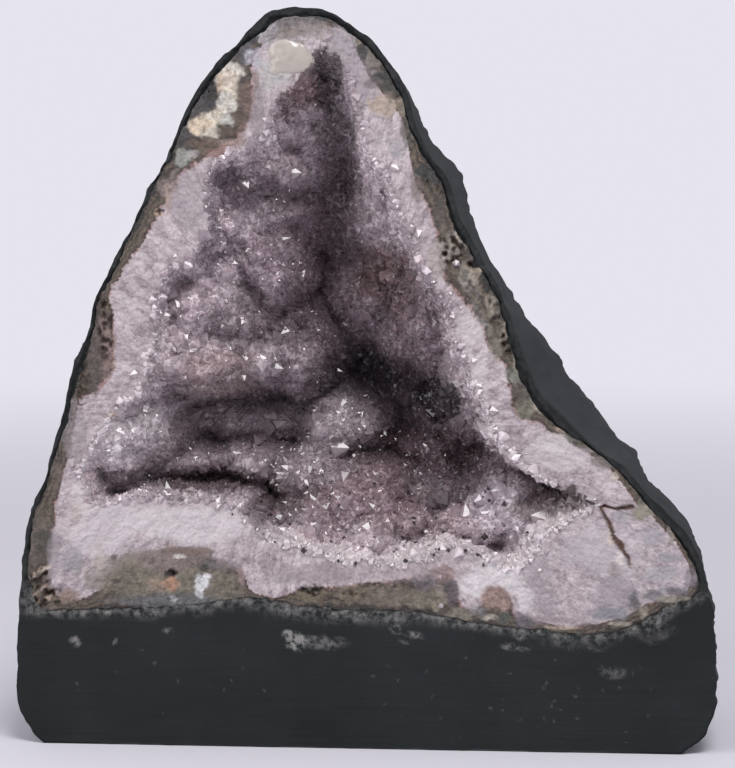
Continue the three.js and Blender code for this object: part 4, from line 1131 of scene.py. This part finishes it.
def scatter(rng, crust, spacing, tries):
    """Places for crystals, spread evenly over the crust: random points of the wall weighted by area, of
    which one is kept in each cube of a lattice with the given spacing. Returns places, normals, depths."""
    grid, depth, normal = crust
    a, b, c = grid[:-1], np.roll(grid, -1, 1)[:-1], grid[1:]
    area = np.linalg.norm(np.cross(b - a, c - a), axis=-1)
    odds = np.cumsum(area.ravel())
    pick = np.searchsorted(odds, rng.random(tries) * odds[-1])
    row, column = np.unravel_index(np.minimum(pick, area.size - 1), area.shape)
    s, t = rng.random((2, tries, 1))
    place = a[row, column] + s * (b - a)[row, column] + t * (c - a)[row, column]
    key = np.floor(place / spacing).astype(np.int64) @ np.array([1, 4096, 4096 * 4096])
    keep = np.sort(np.unique(key, return_index=True)[1])
    return place[keep], normal[row, column][keep], depth[row, column][keep]


def quartz_points(rng, place, axis, side, width, loose):
    """Six-sided quartz points as arrays, pyramid over a rooted pyramid. The upper faces lean 38 degrees to
    the axis; loose squashes each point and tips it off centre at random."""
    count = len(place)
    other = np.cross(axis, side)
    turn = np.arange(6) * math.pi / 3
    wide = 1 + 0.22 * loose * rng.normal(size=(count, 1))
    uneven = 1 + 0.12 * loose * rng.normal(size=(count, 6))
    ring = (np.cos(turn) * uneven)[..., None] * side[:, None]
    ring = ring + (np.sin(turn) * wide * uneven)[..., None] * other[:, None]
    ring = ring + (0.2 * loose * rng.normal(size=(count, 6)))[..., None] * axis[:, None]
    rise = math.cos(math.pi / 6) / math.tan(POINT_ANGLE)
    off = 0.25 * loose * rng.normal(size=(count, 2))
    tip = rise * axis + off[:, :1] * side + off[:, 1:] * other
    shape = np.concatenate([ring, tip[:, None], -1.6 * axis[:, None]], 1)
    corners = place[:, None] + shape * (width / 2)[:, None, None]
    step = np.arange(6)
    beside = (step + 1) % 6
    fans = np.concatenate([np.stack([step, beside, np.full(6, 6)], -1),
                           np.stack([beside, step, np.full(6, 7)], -1)])
    start = np.arange(count)[:, None, None] * POINT_CORNERS
    return corners.reshape(-1, 3), (start + fans).reshape(-1, 3)


class GEODE_OT_crystal_points(Operator):
    """Grows the amethyst points over the crust, in several joined pieces by size."""
    bl_idname = "geode.crystal_points"
    bl_label = "Crystal points"

    def execute(self, context):
        sizes = context.scene.geode_stone
        clear, milky = amethyst_points(), milky_points()
        crust = crust_grid()
        fine, coarse = sizes.fine_point / MM, sizes.coarse_point / MM
        families = (  # name, width, how much widths vary, spacing in widths, tries
            ("fine_points_a", fine, 0.24, 0.95, 60000), ("fine_points_b", fine, 0.3, 1.05, 60000),
            ("fine_points_c", 0.75 * fine, 0.3, 1.4, 60000), ("fine_points_d", 1.3 * fine, 0.3, 1.0, 60000),
            ("coarse_points", coarse, 0.34, 1.2, 20000))
        whites = []
        for number, (name, width, spread, gap, tries) in enumerate(families):
            rng = np.random.default_rng(sizes.seed + number)
            place, normal, depth = scatter(rng, crust, width * gap, tries)
            axis = unit(normal + 0.24 * rng.normal(size=normal.shape))
            side = unit(np.cross(axis, unit(rng.normal(size=axis.shape))))
            width_each = np.minimum(width * np.exp(spread * rng.normal(size=len(place))), 2 * width)
            width_each[depth < 2.5] *= 0.8
            place = place - ((0.16 + 0.3 * rng.random(len(place))) * width_each)[:, None] * axis
            spot = place[:, 0], place[:, 2], depth
            white = rng.random(len(place)) < milkiness(*spot)
            tint = np.where(white[:, None], druse_tint(*spot), druse_tint(*spot, 0.25))
            tint[:, :3] *= np.exp(0.12 * rng.normal(size=(len(tint), 1)))
            parts = place, axis, side, width_each, tint
            whites.append([part[white] for part in parts])
            self.grow(name, rng, clear, "amethyst", *(part[~white] for part in parts))
        whites = (np.concatenate(parts) for parts in zip(*whites))
        self.grow("milky_points", rng, milky, "agate_and_quartz", *whites)
        return {"FINISHED"}

    @staticmethod
    def grow(name, rng, material, slot, place, axis, side, width, tint):
        """One joined piece from the arrays of its crystals."""
        piece = mesh_object(name, *quartz_points(rng, place, axis, side, width, 1.0), smooth=False)
        store(piece, "tint", np.repeat(tint, POINT_CORNERS, axis=0), "FLOAT_COLOR")
        finish_piece(piece, material, "crystal_lining")


class GEODE_OT_bright_faces(Operator):
    """Grows the few larger crystals. Each one's axis leans from the direction halfway between the eye and
    the light by the angle that brings one face square to that direction."""
    bl_idname = "geode.bright_faces"
    bl_label = "Bright faces"

    def execute(self, context):
        rng = np.random.default_rng(context.scene.geode_stone.seed + 20)
        count = 330
        turn, share = 2 * math.pi * rng.random(count), 1.08 * np.sqrt(rng.random(count))
        reach = share * radius_at(HOLLOW_LIP, HOLLOW_CENTRE, turn)
        spread = HOLLOW_CENTRE + reach[:, None] * np.stack([np.cos(turn), np.sin(turn)], 1)
        gathered = np.array([6, 106]) + np.array([20, 26]) * rng.normal(size=(110, 2))
        small = np.concatenate([spread, gathered])
        x, z, width = np.array(GLINTS, float).T
        x, z = np.append(x, small[:, 0]), np.append(z, small[:, 1])
        width = np.append(0.95 * width, np.clip(2.1 * np.exp(0.4 * rng.normal(size=len(small))), 1.1, 4.4))
        place, normal, depth = crust_at(x, z)
        halfway = np.array([0.158, -0.858, 0.488])  # between the eye and the main softbox
        facing = unit(halfway + 0.05 * rng.normal(size=place.shape))
        aside = normal + 0.35 * rng.normal(size=place.shape)
        aside = unit(aside - np.sum(aside * facing, 1, keepdims=True) * facing)
        lean = math.pi / 2 - POINT_ANGLE
        axis = math.cos(lean) * facing + math.sin(lean) * aside
        flat = unit(facing - np.sum(facing * axis, 1, keepdims=True) * axis)
        side = math.cos(math.pi / 6) * flat - math.sin(math.pi / 6) * np.cross(axis, flat)
        middle = (2 * math.cos(math.pi / 6) * flat + 1.1 * axis) / 3
        centre = place + (0.28 * facing - middle) * (width / 2)[:, None]
        crystals = quartz_points(rng, centre, axis, side, width, 0.0)
        piece = mesh_object("bright_faces", *crystals, smooth=False)
        tint = np.repeat(druse_tint(x, z, depth), POINT_CORNERS, axis=0)
        store(piece, "tint", tint, "FLOAT_COLOR")
        finish_piece(piece, amethyst_points("etched_amethyst_points", 0.18), "crystal_lining")
        return {"FINISHED"}


class GEODE_OT_iron_specks(Operator):
    """Sprinkles the dark iron-oxide grains that sit on and in the quartz, each a lumpy octahedron."""
    bl_idname = "geode.iron_specks"
    bl_label = "Iron specks"

    def execute(self, context):
        rng = np.random.default_rng(context.scene.geode_stone.seed + 30)
        runs = np.array(SPECK_RUNS)
        runs = np.repeat(runs, runs[:, 5].astype(int), axis=0)
        share = rng.random((len(runs), 1))
        spot = runs[:, :2] + (runs[:, 2:4] - runs[:, :2]) * share
        spot = spot + runs[:, 4:5] * rng.normal(size=(len(runs), 2))
        spot = np.where(lip_share(*spot.T)[:, None] < 1.04, spot, runs[:, :2])
        x, z = spot.T
        centre = crust_at(x, z)[0] - np.array([0, 0.3, 0])
        size = runs[:, 6] / 2 * np.exp(0.35 * rng.normal(size=len(runs)))
        arms = np.array([[1, 0, 0], [-1, 0, 0], [0, 1, 0], [0, -1, 0], [0, 0, 1], [0, 0, -1]], float)
        reach = 1 + 0.3 * rng.normal(size=(len(runs), 6, 1))
        corners = centre[:, None] + arms * reach * size[:, None, None]
        faces = np.array([[0, 2, 4], [2, 1, 4], [1, 3, 4], [3, 0, 4],
                          [2, 0, 5], [1, 2, 5], [3, 1, 5], [0, 3, 5]])
        start = np.arange(len(runs))[:, None, None] * 6
        piece = mesh_object("iron_specks", corners.reshape(-1, 3), (start + faces).reshape(-1, 3))
        finish_piece(piece, iron_oxide(), "crystal_lining")
        return {"FINISHED"}


class GEODE_OT_chalcedony_nodule(Operator):
    """Builds the smooth chalcedony drop in the upper rim: a flattened ball, pulled out of round by two
    waves of its longitude and fuller on one side."""
    bl_idname = "geode.chalcedony_nodule"
    bl_label = "Chalcedony nodule"

    def execute(self, context):
        rows, columns = 60, 96
        latitude = np.linspace(0, math.pi, rows + 2)[1:-1, None]
        longitude = np.linspace(0, 2 * math.pi, columns, endpoint=False)
        pull = 1 + 0.12 * np.sin(2 * longitude + 1.1) + 0.08 * np.sin(3 * longitude + 2.4)
        x = NODULE_CENTRE[0] + 8.6 * pull * np.sin(latitude) * np.cos(longitude)
        z = NODULE_CENTRE[1] + 7.4 * pull * np.sin(latitude) * np.sin(longitude)
        y = face_y(z) + 1.6 - 2.8 * np.cos(latitude) - 1.3 * np.sin(latitude) ** 2 * np.cos(longitude - 0.7)
        y = y + 0.7 * noise(flat_points(x, z), 4, 140, 2)
        grid = np.stack([x, y, z], -1)
        poles = [[NODULE_CENTRE[0] - 0.2, y[end].mean(), NODULE_CENTRE[1]] for end in (0, -1)]
        piece = closed_grid("chalcedony_nodule", grid, poles)
        finish_piece(piece, waxy_chalcedony(), "crystal_lining")
        return {"FINISHED"}


class GEODE_OT_studio(Operator):
    """Sets up the pale floor, the soft lights and the camera."""
    bl_idname = "geode.studio"
    bl_label = "Studio"

    def execute(self, context):
        studio = context.scene.geode_studio
        self.camera(context)
        self.floor()
        self.world(context, studio)
        aim = Vector((0, 0, 0.12))
        for name, power, place, size in (
                ("key_softbox", studio.key_power, (0.28, -0.8, 1.25), (0.48, 0.48)),
                ("fill_softbox", studio.fill_power, (-1.0, -0.9, 0.6), (0.9, 1.1))):
            light = bpy.data.lights.new(name, "AREA")
            light.shape = "RECTANGLE"
            light.size, light.size_y = size
            light.energy = power
            lamp = bpy.data.objects.new(name, light)
            lamp.location = place
            lamp.rotation_euler = (aim - Vector(place)).to_track_quat("-Z", "Y").to_euler()
            context.scene.collection.objects.link(lamp)
        context.scene.view_settings.view_transform = "Standard"
        return {"FINISHED"}

    @staticmethod
    def camera(context):
        """A long lens a little to the right of the face and above it. The longer side of its picture takes
        in the span at the aim."""
        aim, distance, span = Vector((0.001, -0.050, 0.1217)), 1.0, 0.256
        azimuth, elevation = math.radians(5), math.radians(5)
        back = Vector((math.sin(azimuth) * math.cos(elevation), -math.cos(azimuth) * math.cos(elevation),
                       math.sin(elevation)))
        data = bpy.data.cameras.new("camera")
        data.sensor_width = 36
        data.lens = data.sensor_width * distance / span
        camera = bpy.data.objects.new("camera", data)
        camera.location = aim + back * distance
        camera.rotation_euler = (-back).to_track_quat("-Z", "Y").to_euler()
        context.scene.collection.objects.link(camera)
        context.scene.camera = camera

    @staticmethod
    def floor():
        """A disc that fades out with distance, so that it runs into the backdrop without a line."""
        turn = np.linspace(0, 2 * math.pi, 96, endpoint=False)
        radii = np.array([20.0, 200, 500, 1000, 2000, 3000])[:, None]
        level = np.full((len(radii), len(turn)), -0.02)
        ring = np.stack([radii * np.cos(turn), radii * np.sin(turn), level], -1)
        piece = mesh_object("floor", np.vstack([ring.reshape(-1, 3), [[0, 0, -0.02]]]),
                            grid_faces(*level.shape), fan_faces(0, len(turn), level.size, True))
        material, tree = new_material("matt_paper_sweep")
        place = add(tree, "TexCoord").outputs["Object"]
        reach = add(tree, "VectorMath", {0: place}, operation="LENGTH")
        fade = add(tree, "MapRange",
                   {0: reach.outputs["Value"], 1: 0.15, 2: 1.5}, interpolation_type="SMOOTHSTEP")
        paper = add(tree, "BsdfPrincipled", {"Base Color": linear("eceaf2"), "Roughness": 0.9})
        clear = add(tree, "BsdfTransparent")
        mixed = add(tree, "MixShader", {0: fade.outputs[0], 1: paper.outputs[0], 2: clear.outputs[0]})
        add(tree, "OutputMaterial", {"Surface": mixed.outputs[0]})
        piece.data.materials.append(material)

    @staticmethod
    def world(context, studio):
        """Even pale light from all round; the eye sees it as the backdrop."""
        world = bpy.data.worlds.new("studio")
        world.use_nodes = True
        tree = world.node_tree
        tree.nodes.clear()
        seen = add(tree, "Background", {"Color": linear(studio.backdrop), "Strength": 1.0})
        shed = add(tree, "Background", {"Color": linear(studio.backdrop), "Strength": studio.ambient})
        ray = add(tree, "LightPath")
        mixed = add(tree, "MixShader",
                    {0: ray.outputs["Is Camera Ray"], 1: shed.outputs[0], 2: seen.outputs[0]})
        add(tree, "OutputWorld", {"Surface": mixed.outputs[0]})
        context.scene.world = world


class GEODE_PT_sidebar(Panel):
    """Lists the steps and their settings."""
    bl_idname = "GEODE_PT_sidebar"
    bl_label = "Amethyst geode"
    bl_space_type = "VIEW_3D"
    bl_region_type = "UI"
    bl_category = "Geode"

    def draw(self, context):
        column = self.layout.column()
        for group in SETTINGS:
            settings = getattr(context.scene, group)
            for name in settings.__annotations__:
                column.prop(settings, name)
        for step in STEPS:
            column.operator(step.bl_idname)


STEPS = (GEODE_OT_cement_coat, GEODE_OT_sawn_rim, GEODE_OT_druse_bed, GEODE_OT_crystal_points,
         GEODE_OT_bright_faces, GEODE_OT_iron_specks, GEODE_OT_chalcedony_nodule, GEODE_OT_studio)
SETTINGS = {"geode_stone": GEODE_PG_stone, "geode_colours": GEODE_PG_colours,
            "geode_studio": GEODE_PG_studio}


def register():
    """Registers the classes and hangs the settings on the scene."""
    for cls in (*SETTINGS.values(), *STEPS, GEODE_PT_sidebar):
        bpy.utils.register_class(cls)
    for name, cls in SETTINGS.items():
        setattr(bpy.types.Scene, name, PointerProperty(type=cls))


def unregister():
    """Takes back what register did."""
    for name in SETTINGS:
        delattr(bpy.types.Scene, name)
    for cls in reversed((*SETTINGS.values(), *STEPS, GEODE_PT_sidebar)):
        bpy.utils.unregister_class(cls)


def main():
    """Registers the add-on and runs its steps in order."""
    register()
    for step in STEPS:
        group, name = step.bl_idname.split(".")
        getattr(getattr(bpy.ops, group), name)()


if __name__ == "__main__":
    main()
